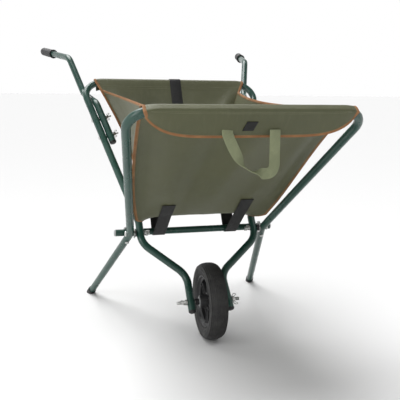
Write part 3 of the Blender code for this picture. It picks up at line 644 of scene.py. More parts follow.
def stitch_row(bm, points, outs, pitch=0.0040, fill=0.72):
    """A row of stitches along a path, each one straight."""
    lengths = [0.0]
    for a, b in zip(points, points[1:]):
        lengths.append(lengths[-1] + (b - a).length)

    def at(distance):
        for k in range(len(points) - 1):
            if distance <= lengths[k + 1] or k == len(points) - 2:
                share = (distance - lengths[k]) / max(1e-9, lengths[k + 1] - lengths[k])
                return points[k].lerp(points[k + 1], share), outs[k].lerp(outs[k + 1], share).normalized()

    count = int(lengths[-1] / pitch)
    for n in range(count):
        start, out = at(n * pitch)
        end, _ = at(n * pitch + pitch * fill)
        stitch(bm, start, end, out)


# ---------------------------------------------------------------- tubes
def leg_frame_path():
    tube_end = FOOT - LEG_DOWN * FOOT_CAP_LENGTH
    half = [tube_end, LEG_PIVOT, FRONT_RIM]
    corners = [mirrored(p, -1) for p in half] + half[::-1]
    return rounded_path(corners, (KNEE_R, FRONT_CORNER_R, FRONT_CORNER_R, KNEE_R))


def wheel_frame_path():
    half = [FORK_END, FORK_BEND, FORK_KNEE, SIDE_KNEE, REAR_RIM]
    corners = [mirrored(p, -1) for p in half] + half[::-1]
    radii = (KNEE_R, KNEE_R, KNEE_R, REAR_CORNER_R)
    return rounded_path(corners, radii + radii[::-1])


def handle_path(side):
    corners = [REAR_RIM + SIDE_RUN * along + BEHIND_FRAME * behind + vec(sideways, 0, 0)
               for along, behind, sideways in HANDLE_STEPS]
    corners.append(corners[-1] + HANDLE_ARM)
    return rounded_path([mirrored(p, side) for p in corners], HANDLE_BEND_R)


def handle_bolt_line(side, along):
    lower = REAR_RIM + SIDE_RUN * along
    _, behind, sideways = HANDLE_STEPS[0]
    offset = BEHIND_FRAME * behind + vec(sideways, 0, 0)
    offset -= SIDE_RUN * offset.dot(SIDE_RUN)
    return mirrored(lower, side), mirrored(offset.normalized(), side), offset.length


def make_tubes():
    bar = [vec(x, CROSSBAR.y, CROSSBAR.z) for x in (-CROSSBAR_HALF, CROSSBAR_HALF)]
    for node, path, radius, wall in (("leg_frame_tube", leg_frame_path(), TUBE_R, TUBE_WALL),
                                     ("wheel_frame_tube", wheel_frame_path(), TUBE_R, TUBE_WALL),
                                     ("handle_tube_left", handle_path(-1), TUBE_R, TUBE_WALL),
                                     ("handle_tube_right", handle_path(1), TUBE_R, TUBE_WALL),
                                     ("crossbar_tube", bar, CROSSBAR_R, CROSSBAR_WALL)):
        bm = bmesh.new()
        hollow_tube(bm, path, radius, wall)
        piece(node + "_painted", bm, "frame_paint", stands_for=(node,))


# ---------------------------------------------------------------- fasteners, plugs and grips
def thread_profile(start, end, radius, pitch=0.0010, depth=0.00045):
    """Screw threads drawn as close rings, from start to end along the shank."""
    points = []
    height = start
    while height + pitch < end - 0.0008:
        points += [(radius - depth, height), (radius, height + pitch / 2)]
        height += pitch
    return points + [(radius - depth, height), (radius - depth - 0.0004, end)]


def make_bolt(node, seat, direction, length, shank_r, thread=0.018):
    """A domed head that seats at seat, a plain shank and a threaded end."""
    head_r = shank_r * 2.1
    head = shank_r * 1.2
    dome = [(head_r * sin(a), -head * cos(a)) for a in [radians(d) for d in (18, 36, 54, 72, 86)]]
    profile = [(0.0, -head)] + dome + [(head_r, -0.0002), (head_r - 0.0003, 0.0), (shank_r, 0.0),
                                       (shank_r, length - thread)]
    profile += thread_profile(length - thread, length, shank_r) + [(0.0, length)]
    lathe(node, "_zinc", profile, seat, direction, 24, "steel")


def make_washer(node, seat, direction, outer, inner, thickness, look):
    edge = min(0.0004, thickness / 4)
    profile = [(inner, 0.0), (outer - edge, 0.0), (outer, edge), (outer, thickness - edge),
               (outer - edge, thickness), (inner, thickness)]
    lathe(node, "_fine", profile, seat, direction, 32, look)


def make_hex_nut(node, seat, direction, outer, inner, thickness):
    """A hexagon nut with chamfered faces."""
    bm = bmesh.new()
    axis = direction.normalized()
    side_a = axis.orthogonal().normalized()
    side_b = axis.cross(side_a)
    rings = []
    for radius, height, six_sided in (
            (inner, 0.0, False), (outer * 0.90, 0.0, False), (outer, thickness * 0.14, True),
            (outer, thickness * 0.86, True), (outer * 0.90, thickness, False), (inner, thickness, False)):
        ring = []
        for k in range(24):
            angle = tau * k / 24
            within = angle % (tau / 6) - tau / 12
            reach = radius * (cos(tau / 12) / cos(within) if six_sided else 1.0)
            ring.append(bm.verts.new(seat + axis * height + (side_a * cos(angle)
                                                             + side_b * sin(angle)) * reach))
        rings.append(ring)
    bridge(bm, rings, closed=True)
    piece(node + "_hex", bm, "steel", stands_for=(node,), sharp=28.0)


def make_wing_nut(node, seat, direction, thread_r, ears_along, stretch=1.0):
    """A tapered boss and two open wire-like ears that lean away from the seat."""
    bore = thread_r + GAP
    boss_r = thread_r + 0.0035
    height = thread_r + 0.003
    bm = bmesh.new()
    turned(bm, [(bore, 0.0), (boss_r, 0.0), (boss_r, 0.0014), (boss_r - 0.0011, height - 0.0006),
                (boss_r - 0.0017, height), (bore, height)], seat, direction, 24)
    axis = direction.normalized()
    radial = (ears_along - axis * ears_along.dot(axis)).normalized()
    outline = ((-0.0012, 0.0022), (0.003, 0.0030), (0.0072, height * 0.85), (0.0082, height * 1.35),
               (0.0068, height * 1.78), (0.0036, height * 1.70), (0.0012, height * 1.15),
               (-0.0014, height * 0.80))
    wire_r = 0.0012
    for sign in (1, -1):
        corners = [seat + radial * (sign * (boss_r + out * stretch)) + axis * h for out, h in outline]
        solid_rod(bm, [catmull(corners, k / 3) for k in range(3 * (len(corners) - 1) + 1)], wire_r)
    piece(node + "_loops", bm, "steel", stands_for=(node,))


def catmull(points, t):
    """The point at t, in whole points, on a smooth curve through the points."""
    i = min(int(t), len(points) - 2)
    f = t - i
    p0 = points[max(i - 1, 0)]
    p1 = points[i]
    p2 = points[i + 1]
    p3 = points[min(i + 2, len(points) - 1)]
    return (p1 * 2 + (p2 - p0) * f + (p0 * 2 - p1 * 5 + p2 * 4 - p3) * f * f
            + (p1 * 3 - p0 - p2 * 3 + p3) * f ** 3) * 0.5


def make_plug(node, end, outward, radius=TUBE_R, wall=TUBE_WALL, look="black_plastic"):
    neck = (radius - wall) * 0.94
    profile = [(0.0, -0.012), (neck, -0.012), (neck, GAP), (radius, GAP), (radius + 0.0001, 0.0012),
               (radius - 0.0006, 0.0030), (radius - 0.0026, 0.0045), (radius * 0.4, 0.0051), (0.0, 0.0052)]
    lathe(node, "_moulded", profile, end, outward, 32, look)


def make_grip(label, path):
    """A blind rubber grip: flange, shallow finger rings, rounded closed end."""
    end = path[-1]
    outward = (end - path[-2]).normalized()
    bore = TUBE_R + 0.0004
    start = 0.004 - GRIP_LENGTH
    profile = [(0.0, GAP), (bore, GAP), (bore, start + 0.001), (0.0162, start), (0.0168, start + 0.0006),
               (0.0168, start + 0.0026), (0.0161, start + 0.0036), (0.0150, start + 0.0052),
               (0.0144, start + 0.008)]
    rings = 18
    for k in range(rings):
        low = start + 0.014 + k * 0.0056
        swell = 0.0145 + 0.0007 * sin(pi * k / rings)
        profile += [(swell, low), (swell + 0.0004, low + 0.0012), (swell + 0.0004, low + 0.0030),
                    (swell, low + 0.0042)]
    profile += [(0.0150, -0.004), (0.0154, 0.0), (0.0150, 0.0035), (0.0138, 0.0068), (0.0112, 0.0095),
                (0.0070, 0.0114), (0.0, 0.0120)]
    lathe("handle_grip_" + label, "_ribbed", profile, end, outward, 36, "rubber")


def make_hardware():
    for label, side in SIDES:
        outward = X * side
        # crossbar bolts
        middle = mirrored(LEG_AT_CROSSBAR, side)
        make_bolt("crossbar_bolt_" + label, middle - CROSSBAR_OFF * (TUBE_R + 0.0012), CROSSBAR_OFF, 0.0440,
                  BOLT_R)
        make_hex_nut("crossbar_nut_" + label, middle + CROSSBAR_OFF * (TUBE_R + 2 * CROSSBAR_R + 3 * GAP),
                     CROSSBAR_OFF, 0.0060, BOLT_R + 0.0002, 0.005)
        make_plug("crossbar_plug_" + label, vec(side * CROSSBAR_HALF, CROSSBAR.y, CROSSBAR.z), outward,
                  CROSSBAR_R, CROSSBAR_WALL, "grey_plastic")
        # pivots
        turn = (LEG_PIVOT - FOOT).angle(FRONT_RIM - LEG_PIVOT)
        leg_x = LEG_PIVOT.x + KNEE_R * (1 / cos(turn / 2) - 1)
        head_x = leg_x + TUBE_R + 0.0011
        gap_outer = leg_x - TUBE_R - GAP
        spacer_x = gap_outer - 0.002 - GAP
        nut_x = SIDE_KNEE.x - TUBE_R - 0.0012
        make_bolt("pivot_bolt_" + label, PIVOT + outward * head_x, -outward, head_x - nut_x + 0.016,
                  PIVOT_BOLT_R)
        make_washer("pivot_washer_" + label, PIVOT + outward * gap_outer, -outward, 0.0145,
                    PIVOT_BOLT_R + GAP, 0.002, "steel")
        make_washer("pivot_spacer_" + label, PIVOT + outward * spacer_x, -outward, 0.010,
                    PIVOT_BOLT_R + GAP, spacer_x - (SIDE_KNEE.x + TUBE_R + GAP), "black_plastic")
        make_wing_nut("pivot_wing_nut_" + label, PIVOT + outward * nut_x, -outward, PIVOT_BOLT_R,
                      BEHIND_FRAME)
        # handles and the fork's ends
        path = handle_path(side)
        make_plug("handle_end_cap_" + label, path[0], path[0] - path[1])
        make_grip(label, path)
        fork_end = mirrored(FORK_END, side)
        make_plug("fork_plug_" + label, fork_end, fork_end - mirrored(FORK_BEND, side))
        for place, along in HANDLE_BOLTS.items():
            tag = place + "_" + label
            centre, towards, spacing = handle_bolt_line(side, along)
            make_bolt("handle_bolt_" + tag, centre - towards * (TUBE_R + GAP), towards,
                      spacing + 2 * TUBE_R + 0.017, BOLT_R)
            make_washer("handle_spacer_" + tag, centre + towards * (TUBE_R + GAP), towards, 0.007,
                        BOLT_R + GAP, spacing - 2 * TUBE_R - 2 * GAP, "black_plastic")
            make_wing_nut("handle_wing_nut_" + tag, centre + towards * (spacing + TUBE_R + GAP), towards,
                          BOLT_R, towards.cross(SIDE_RUN), stretch=1.3)
        # axle
        make_wing_nut("axle_wing_nut_" + label, AXLE + outward * (FORK_HALF + TUBE_R + 2 * GAP), outward,
                      AXLE_R, vec(0, 1, 1 if side > 0 else 0))
        inner = HUB_HALF + 2 * GAP + 0.0015
        make_washer("hub_spacer_" + label, AXLE + outward * inner, outward, 0.009, AXLE_R + GAP,
                    FORK_HALF - TUBE_R - 2 * GAP - inner, "black_plastic")
    low = -0.096
    length = 0.088 - low
    thread = 0.030
    near_end = [(r, thread - h) for r, h in thread_profile(0.0, thread - 0.0005, AXLE_R)][::-1]
    profile = [(0.0, 0.0), (AXLE_R - 0.001, 0.0)] + near_end + [(AXLE_R, thread), (AXLE_R, length - thread)]
    profile += thread_profile(length - thread, length, AXLE_R) + [(0.0, length)]
    lathe("axle_rod", "_zinc", profile, AXLE + X * low, X, 24, "steel")


# ---------------------------------------------------------------- wheel
def make_wheel():
    # Solid tyre: ribbed crown, shoulder lines and a raised ring on each sidewall.
    half = [(0.0750, 0.0190), (0.0752, 0.0206), (0.0775, 0.0216), (0.0795, 0.0222), (0.0805, 0.0236),
            (0.0822, 0.0238), (0.0830, 0.0234), (0.0870, 0.0247), (0.0905, 0.0253), (0.0918, 0.0261),
            (0.0930, 0.0261), (0.0940, 0.0254), (0.0975, 0.0252), (0.1000, 0.0243)]
    crown = []
    for k in range(11):
        x = 0.0225 - k * 0.0045
        radius = WHEEL_R - 0.0075 * (abs(x) / 0.0235) ** 2.6
        crown += [(radius, x + 0.0014), (radius + 0.0001, x), (radius, x - 0.0014),
                  (radius - 0.0009, x - 0.0019), (radius - 0.0009, x - 0.0026)]
    crown = crown[:-2]
    profile = half + crown + [(r, -x) for r, x in half[::-1]]
    lathe("tyre", "_ribbed", profile, AXLE, X, 120, "tyre", sharp=50.0)
    # Moulded wheel: rim channel, hub and six ribbed spokes.
    bm = bmesh.new()
    rim = [(0.0744, 0.0186), (0.0734, 0.0200), (0.0712, 0.0202), (0.0700, 0.0192), (0.0690, 0.0150),
           (0.0665, 0.0120), (0.0640, 0.0110), (0.0632, 0.0100)]
    turned(bm, rim + [(r, -x) for r, x in rim[::-1]], AXLE, X, 96)
    hub = [(0.0098, 0.0300), (0.0165, 0.0300), (0.0178, 0.0290), (0.0185, 0.0240), (0.0200, 0.0150),
           (0.0205, 0.0090)]
    turned(bm, [(r, -x) for r, x in hub] + [(r, x) for r, x in hub[::-1]], AXLE, X, 48)
    for k in range(6):
        turn = Matrix.Rotation(tau * k / 6, 3, "X")
        rings = []
        for radius, wide, deep in (
                (0.0185, 0.0085, 0.0105), (0.024, 0.0068, 0.0095), (0.034, 0.0052, 0.0080),
                (0.046, 0.0050, 0.0078), (0.057, 0.0062, 0.0088), (0.0645, 0.0085, 0.0098)):
            ring = []
            for a in range(16):
                angle = tau * (a + 0.5) / 16
                ca, sa = cos(angle), sin(angle)
                px = copysign(abs(ca) ** 0.5, ca) * deep
                py = copysign(abs(sa) ** 0.5, sa) * wide
                ring.append(bm.verts.new(AXLE + turn @ vec(px, py, radius)))
            rings.append(ring)
        bridge(bm, rings)
        # a raised rib down the middle of each face of the spoke
        for sign in (1, -1):
            path = [AXLE + turn @ vec(sign * x, 0, r) for r, x in ((0.019, 0.0150), (0.026, 0.0105),
                                                                        (0.040, 0.0085), (0.055, 0.0092),
                                                                        (0.0645, 0.0120))]
            solid_rod(bm, path, 0.0017)
    piece("wheel_rim_moulded", bm, "black_plastic", stands_for=("wheel_rim",))
    for label, side in SIDES:
        outward = vec(side, 0, 0)
        end = HUB_HALF + GAP + 0.0015
        profile = [(AXLE_R + 0.0004, 0.014), (0.0092, 0.014), (0.0092, HUB_HALF + GAP),
                   (0.0130, HUB_HALF + GAP), (0.0130, end - 0.0005), (0.0125, end), (AXLE_R + 0.0004, end)]
        lathe("wheel_bearing_" + label, "_fine", profile, AXLE, outward, 36, "grey_plastic")


# ---------------------------------------------------------------- the bag's surfaces
def front_half(v):
    return 0.246 - 0.030 * v - 0.024 * v ** 4


def rear_half(v):
    return 0.148 + 0.109 * (1 - v) ** 2.2


def ridge(s, v, s0, v0, s1, v1, wide, height):
    """A soft fold from one point of the cloth to another, highest half way along."""
    ds, dv = s1 - s0, v1 - v0
    t = ((s - s0) * ds + (v - v0) * dv) / (ds * ds + dv * dv)
    t = min(1.0, max(0.0, t))
    gap = hypot(s - s0 - ds * t, v - v0 - dv * t) / wide
    return height * exp(-gap * gap) * sin(pi * min(1.0, 0.12 + 0.88 * t)) ** 0.8


FRONT_FOLDS = ((-0.16, 0.16, -0.36, 0.98, 0.13, 0.0085), (-0.52, 0.10, -0.62, 0.98, 0.16, -0.0060),
               (0.22, 0.14, -0.06, 1.00, 0.14, -0.0070), (0.62, 0.12, 0.34, 0.96, 0.15, 0.0062),
               (-0.84, 0.16, -0.86, 0.92, 0.08, 0.0050), (0.88, 0.20, 0.84, 0.94, 0.07, 0.0060),
               (-0.92, 0.98, -0.56, 0.80, 0.08, 0.0050), (0.96, 0.98, 0.58, 0.78, 0.08, 0.0060))
REAR_FOLDS = ((-0.98, 0.02, -0.62, 0.52, 0.09, 0.0050), (0.98, 0.02, 0.64, 0.50, 0.09, 0.0055),
              (-0.30, 0.10, -0.44, 0.90, 0.14, -0.0038), (0.34, 0.12, 0.20, 0.90, 0.13, 0.0036),
              (0.05, 0.12, -0.02, 0.80, 0.10, -0.0028))


def bottom_rise(s, v):
    """The straps hold the bottom up between the bag's lower corners."""
    return vec(0.0, 0.0, BOTTOM_RISE * (1 - abs(s) ** 5) * v ** 6)


def bend_start(rim, below, radius):
    """How far from the middle a rim tube starts its corner bend."""
    return rim.x - radius * tan((below - rim).angle(X) / 2)


def bend_drop(x, start, radius):
    """How far the rim tube has dropped at x, and how much wider its canvas sleeve is there."""
    past = max(0.0, abs(x) - start)
    drop = radius - sqrt(radius ** 2 - past ** 2)
    return drop, SLEEVE_EASE * TUBE_R * (1 / cos(asin(past / radius)) - 1)


def front_drop(x):
    return bend_drop(x, FRONT_BEND_X, FRONT_CORNER_R)


def rear_drop(x):
    return bend_drop(x, REAR_BEND_X, REAR_CORNER_R)


def front_sleeve(point, x):
    """A point of the front sleeve's section, drawn at the middle, moved out to x."""
    drop, wider = front_drop(x)
    return point + (point - FRONT_MID).normalized() * wider + PANEL_DOWN * drop + X * x


def rear_sleeve(point, x):
    drop, wider = rear_drop(x)
    return point + (point - REAR_MID).normalized() * wider + RIM_RUN_DOWN * drop + X * x


FRONT_BEND_X = bend_start(FRONT_RIM, LEG_PIVOT, FRONT_CORNER_R)
REAR_BEND_X = bend_start(REAR_RIM, SIDE_KNEE, REAR_CORNER_R)


def front_point(s, v):
    hump = 0.0225 * sin(pi * v ** 0.75) * (0.30 + 0.70 * s ** 6)
    folds = sum(ridge(s, v, *fold) for fold in FRONT_FOLDS) * min(1.0, v * 8)
    drop, wider = front_drop(s * front_half(0))
    lift = HEM_R + (0.006 - HEM_R) * v + hump + folds + wider * max(0.0, 1 - v / 0.30) ** 2
    return (FRONT_MID + PANEL_DOWN * (FRONT_PANEL_LENGTH * v + drop * (1 - v) ** 4) + PANEL_IN * lift
            + X * (s * front_half(v)) + bottom_rise(s, v))


def rear_point(s, v):
    folds = sum(ridge(s, v, *fold) for fold in REAR_FOLDS) * min(1.0, v * 8)
    sag = -0.006 * sin(pi * v) * (1 - s * s)
    drop, wider = rear_drop(s * rear_half(0))
    lift = (HEM_R + wider) * max(0.0, 1 - v / 0.25) ** 2 + folds + sag
    return (REAR_MID + REAR_DOWN * (REAR_LENGTH * v) + REAR_IN * lift + X * (s * rear_half(v))
            + RIM_RUN_DOWN * (drop * (1 - v) ** 4))


def floor_point(s, t):
    """The bottom of the bag, one curve from the front panel into the rear panel."""
    start = front_point(s, 1.0)
    end = rear_point(s, 1.0)
    reach = 0.010 + 0.018 * abs(s) ** 4
    p1 = start + PANEL_DOWN * reach
    p2 = end + REAR_DOWN * reach
    point = (start * (1 - t) ** 3 + p1 * (3 * t * (1 - t) ** 2) + p2 * (3 * t * t * (1 - t)) + end * t ** 3)
    half = 0.148 + 0.044 * (1 - t) ** 1.8
    point.x = s * half
    return point


def flap_edge(x):
    return FLAP_EDGE_HEIGHT + 0.040 * (abs(x) / FLAP_HALF) ** 6


def flap_point(x, down):
    """The flap, from the crease in front of the rim to its lower edge, which leans in under the rim."""
    low = flap_edge(x)
    top = front_sleeve(CREASE, x)
    drop, wider = front_drop(x)
    lean = 0.025 * (FRONT_RIM.z - low) / (FRONT_RIM.z - FLAP_EDGE_HEIGHT)
    wave = (0.0030 * sin(x * 21.0 + 0.7) + 0.0014 * sin(x * 47.0)) * down ** 1.5
    low_y = FRONT_RIM.y + PANEL_DOWN.y * drop - HEM_R - wider + lean
    taper = 1.0 - 0.030 * down * (abs(x) / FLAP_HALF) ** 4
    return vec(x * taper, top.y + (low_y - top.y) * down ** 1.15 + wave, top.z + (low - top.z) * down)


def front_hem(steps=12):
    """The canvas over the front rim, from the inner side round the tube and out to the flap's crease."""
    points = hem_points(FRONT_MID, FRONT_START, CREASE_ANGLE, steps, skip_first=False)
    last = points[-1]
    return points + [last.lerp(CREASE, share) for share in (0.30, 0.60, 0.85)]


def hem_points(middle, start, end, steps, skip_first=True):
    out = []
    for k in range(1 if skip_first else 0, steps + 1):
        angle = start + (end - start) * k / steps
        out.append(middle + yz(angle) * HEM_R)
    return out


FRONT_START = atan2(PANEL_IN.z, PANEL_IN.y)
CREASE_ANGLE = radians(128)
CREASE = FRONT_MID + yz(CREASE_ANGLE) * HEM_R + yz(CREASE_ANGLE + pi / 2) * 0.0120
REAR_START = atan2(REAR_IN.z, REAR_IN.y)
REAR_BACK = -pi * 0.12
TAIL_DOWN = yz(REAR_BACK - pi / 2)


def body_rows(columns):
    """The long strip of canvas: flap, front hem, front panel, floor, rear panel, rear hem and its tail."""
    rows = []
    for down in [1 - k / 14 for k in range(14)] + [0.03]:
        rows.append([flap_point(s * FLAP_HALF, down) for s in columns])
    for point in front_hem(14)[:0:-1]:
        rows.append([front_sleeve(point, s * FLAP_HALF) for s in columns])
    for k in range(45):
        rows.append([front_point(s, k / 44) for s in columns])
    for k in range(1, 12):
        rows.append([floor_point(s, k / 12) for s in columns])
    for k in range(41):
        rows.append([rear_point(s, 1 - k / 40) for s in columns])
    for point in hem_points(REAR_MID, REAR_START, REAR_BACK, 16):
        rows.append([rear_sleeve(point, s * rear_half(0)) for s in columns])
    last = REAR_MID + yz(REAR_BACK) * HEM_R
    for k in range(1, 5):
        drop = TAIL_DOWN * (REAR_HEM_TAIL * k / 4)
        rows.append([rear_sleeve(last, s * rear_half(0)) + drop for s in columns])
    return rows


def grid_uvs(rows):
    """UVs in metres: across from the middle, and along the middle column."""
    middle = len(rows[0]) // 2
    travelled = 0.0
    uvs = []
    for i, row in enumerate(rows):
        if i:
            travelled += (row[middle] - rows[i - 1][middle]).length
        uvs.append([((p - row[middle]).length * (1 if j >= middle else -1), travelled)
                    for j, p in enumerate(row)])
    return uvs


def side_point(side, u, v):
    """Side panel: u 0 at the front seam to 1 at the rear seam, v 0 at the top edge to 1 at the floor."""
    front = front_point(1.0, 0.012 + 0.988 * v)
    rear = rear_point(1.0, SIDE_TOP_REAR + (1 - SIDE_TOP_REAR) * v)
    slack = (1 - v) ** 1.5
    bow = 4 * u * (1 - u) * slack
    point = front.lerp(rear, u) - vec(SIDE_BOW_IN * bow, 0, SIDE_BOW_DOWN * bow)
    bottom = floor_point(1.0, u) - front_point(1.0, 1.0).lerp(rear_point(1.0, 1.0), u)
    point += bottom * v ** 5
    wave = (0.0035 * sin(3 * pi * u + 1.2 * v) + 0.0022 * sin(5.3 * pi * u)) * (
        sin(pi * u) * (1 - v) ** 0.6 * min(1.0, v * 5))
    point.x -= wave + 0.0009
    return mirrored(point, side)


def make_bag():
    columns = [2 * k / 60 - 1 for k in range(61)]
    rows = body_rows(columns)
    bm = bmesh.new()
    cloth_solid(bm, rows, grid_uvs(rows), CLOTH)
    body = piece("bag_body_canvas", bm, "canvas", "bag",
                 stands_for=("bag_front_panel", "bag_rear_panel", "bag_floor"), sharp=60.0)
    sides = []
    for label, side in SIDES:
        panel = [[side_point(side, u / 32, v / 36) for u in range(33)] for v in range(37)]
        bm = bmesh.new()
        cloth_solid(bm, panel, grid_uvs(panel), CLOTH)
        sides.append((piece("bag_side_" + label + "_canvas", bm, "canvas", "bag",
                            stands_for=("bag_side_" + label,), sharp=60.0), panel))
    return body, rows, sides


# ---------------------------------------------------------------- bindings and stitching
def edge_band(name, points, outs, body="bag"):
    return strap(name, points, outs, TAPE_WIDTH, TAPE_THICK, "piping", body)


def make_bindings():
    """Tan tape over every raw edge, and the stitches that hold it."""
    threads = bmesh.new()
    made = {"body": [], "left": [], "right": []}
    for label, side in SIDES:
        # the long seam: front panel, floor and rear panel
        path = [front_point(side, k / 40) for k in range(41)]
        path += [floor_point(side, k / 10) for k in range(1, 10)]
        path += [rear_point(side, 1 - k / 36) for k in range(37)]
        path += [rear_sleeve(p, side * rear_half(0)) for p in hem_points(REAR_MID, REAR_START, REAR_BACK, 12)]
        shifted = [p + X * (side * TAPE_WIDTH * 0.30) for p in path]
        made["body"].append(edge_band("binding_seam_" + label, shifted, [X * side] * len(path)))
        normals = []
        for i, p in enumerate(shifted):
            run = shifted[min(i + 1, len(path) - 1)] - shifted[max(i - 1, 0)]
            normals.append(run.cross(X).normalized())
        for face in (1, -1):
            lane = [p - X * (side * TAPE_WIDTH * 0.22) + n * (face * TAPE_THICK / 2)
                    for p, n in zip(shifted, normals)]
            stitch_row(threads, lane, [n * face for n in normals])
        # the side panel's top edge
        top = [side_point(side, u / 30, 0.0) for u in range(31)]
        under = [side_point(side, u / 30, 0.03) for u in range(31)]
        ups = [(a - b).normalized() for a, b in zip(top, under)]
        made[label].append(edge_band("binding_top_" + label, top, ups))
        for face in (1, -1):
            lane = []
            faces = []
            for i, (p, up) in enumerate(zip(top, ups)):
                run = top[min(i + 1, 30)] - top[max(i - 1, 0)]
                out = run.cross(up).normalized() * face
                lane.append(p - up * (TAPE_WIDTH * 0.22) + out * (TAPE_THICK / 2))
                faces.append(out)
            stitch_row(threads, lane, faces)
    # the flap: hem end, side edge, lower edge, side edge, hem end
    left_edge, right_edge = (
        [front_sleeve(p, x) for p in front_hem()] + [flap_point(x, k / 8 * 0.93) for k in range(8)]
        for x in (-FLAP_HALF, FLAP_HALF))
    steps = 80
    corner_steps = 8
    lower = [flap_point(-FLAP_HALF + 2 * FLAP_HALF * k / steps, 1.0) for k in range(steps + 1)]
    downward = []
    for k in range(steps + 1):
        share = min(1.0, k / corner_steps, (steps - k) / corner_steps)
        side = -1.0 if k < steps / 2 else 1.0
        downward.append((vec(0, 0, -1) * share + X * (side * (1 - share))).normalized())
    path = left_edge + lower + right_edge[::-1]
    outs = [-X] * len(left_edge) + downward + [X] * len(right_edge)
    made["body"].append(edge_band("binding_flap", path, outs, "leg_frame"))
    flap_threads = bmesh.new()
    for face in (1, -1):
        lane = [p + vec(0, -face * TAPE_THICK / 2, TAPE_WIDTH * 0.22) for p in lower[3:78]]
        stitch_row(flap_threads, lane, [vec(0, -face, 0)] * len(lane))
    # two rows that close the front hem, on the flap's face, and one on the rear panel
    for down in (0.10, 0.16):
        lane = [flap_point(-FLAP_HALF + 2 * FLAP_HALF * k / 80, down) + vec(0, -CLOTH / 2, 0)
                for k in range(2, 79)]
        stitch_row(flap_threads, lane, [vec(0, -1, 0)] * len(lane))
    for v in (0.045, 0.058):
        lane = [rear_point(2 * k / 60 - 1, v) + REAR_IN * (CLOTH / 2) for k in range(1, 60)]
        stitch_row(threads, lane, [REAR_IN] * len(lane))
    piece("stitching_bag", threads, "olive_thread", "bag")
    piece("stitching_flap", flap_threads, "olive_thread", "leg_frame")
    return made


# ---------------------------------------------------------------- straps
def box_stitch(bm, corners, outs):
    """A sewn square with a cross in it. corners go round; outs is the cloth's outward side."""
    for a, b in ((0, 1), (1, 2), (2, 3), (3, 0), (0, 2), (1, 3)):
        stitch_row(bm, [corners[a], corners[b]], [outs, outs], pitch=0.0032)


def on_front(x, v):
    return front_point(x / front_half(v), v)


def on_rear(x, v):
    return rear_point(x / rear_half(v), v)


def wrap_angles(centre, radius, low, high):
    def tangent(point, turn):
        away = point - centre
        return atan2(away.z, away.y) + turn * acos(radius / hypot(away.y, away.z))
    return tangent(low, 1), tangent(high, -1) + tau


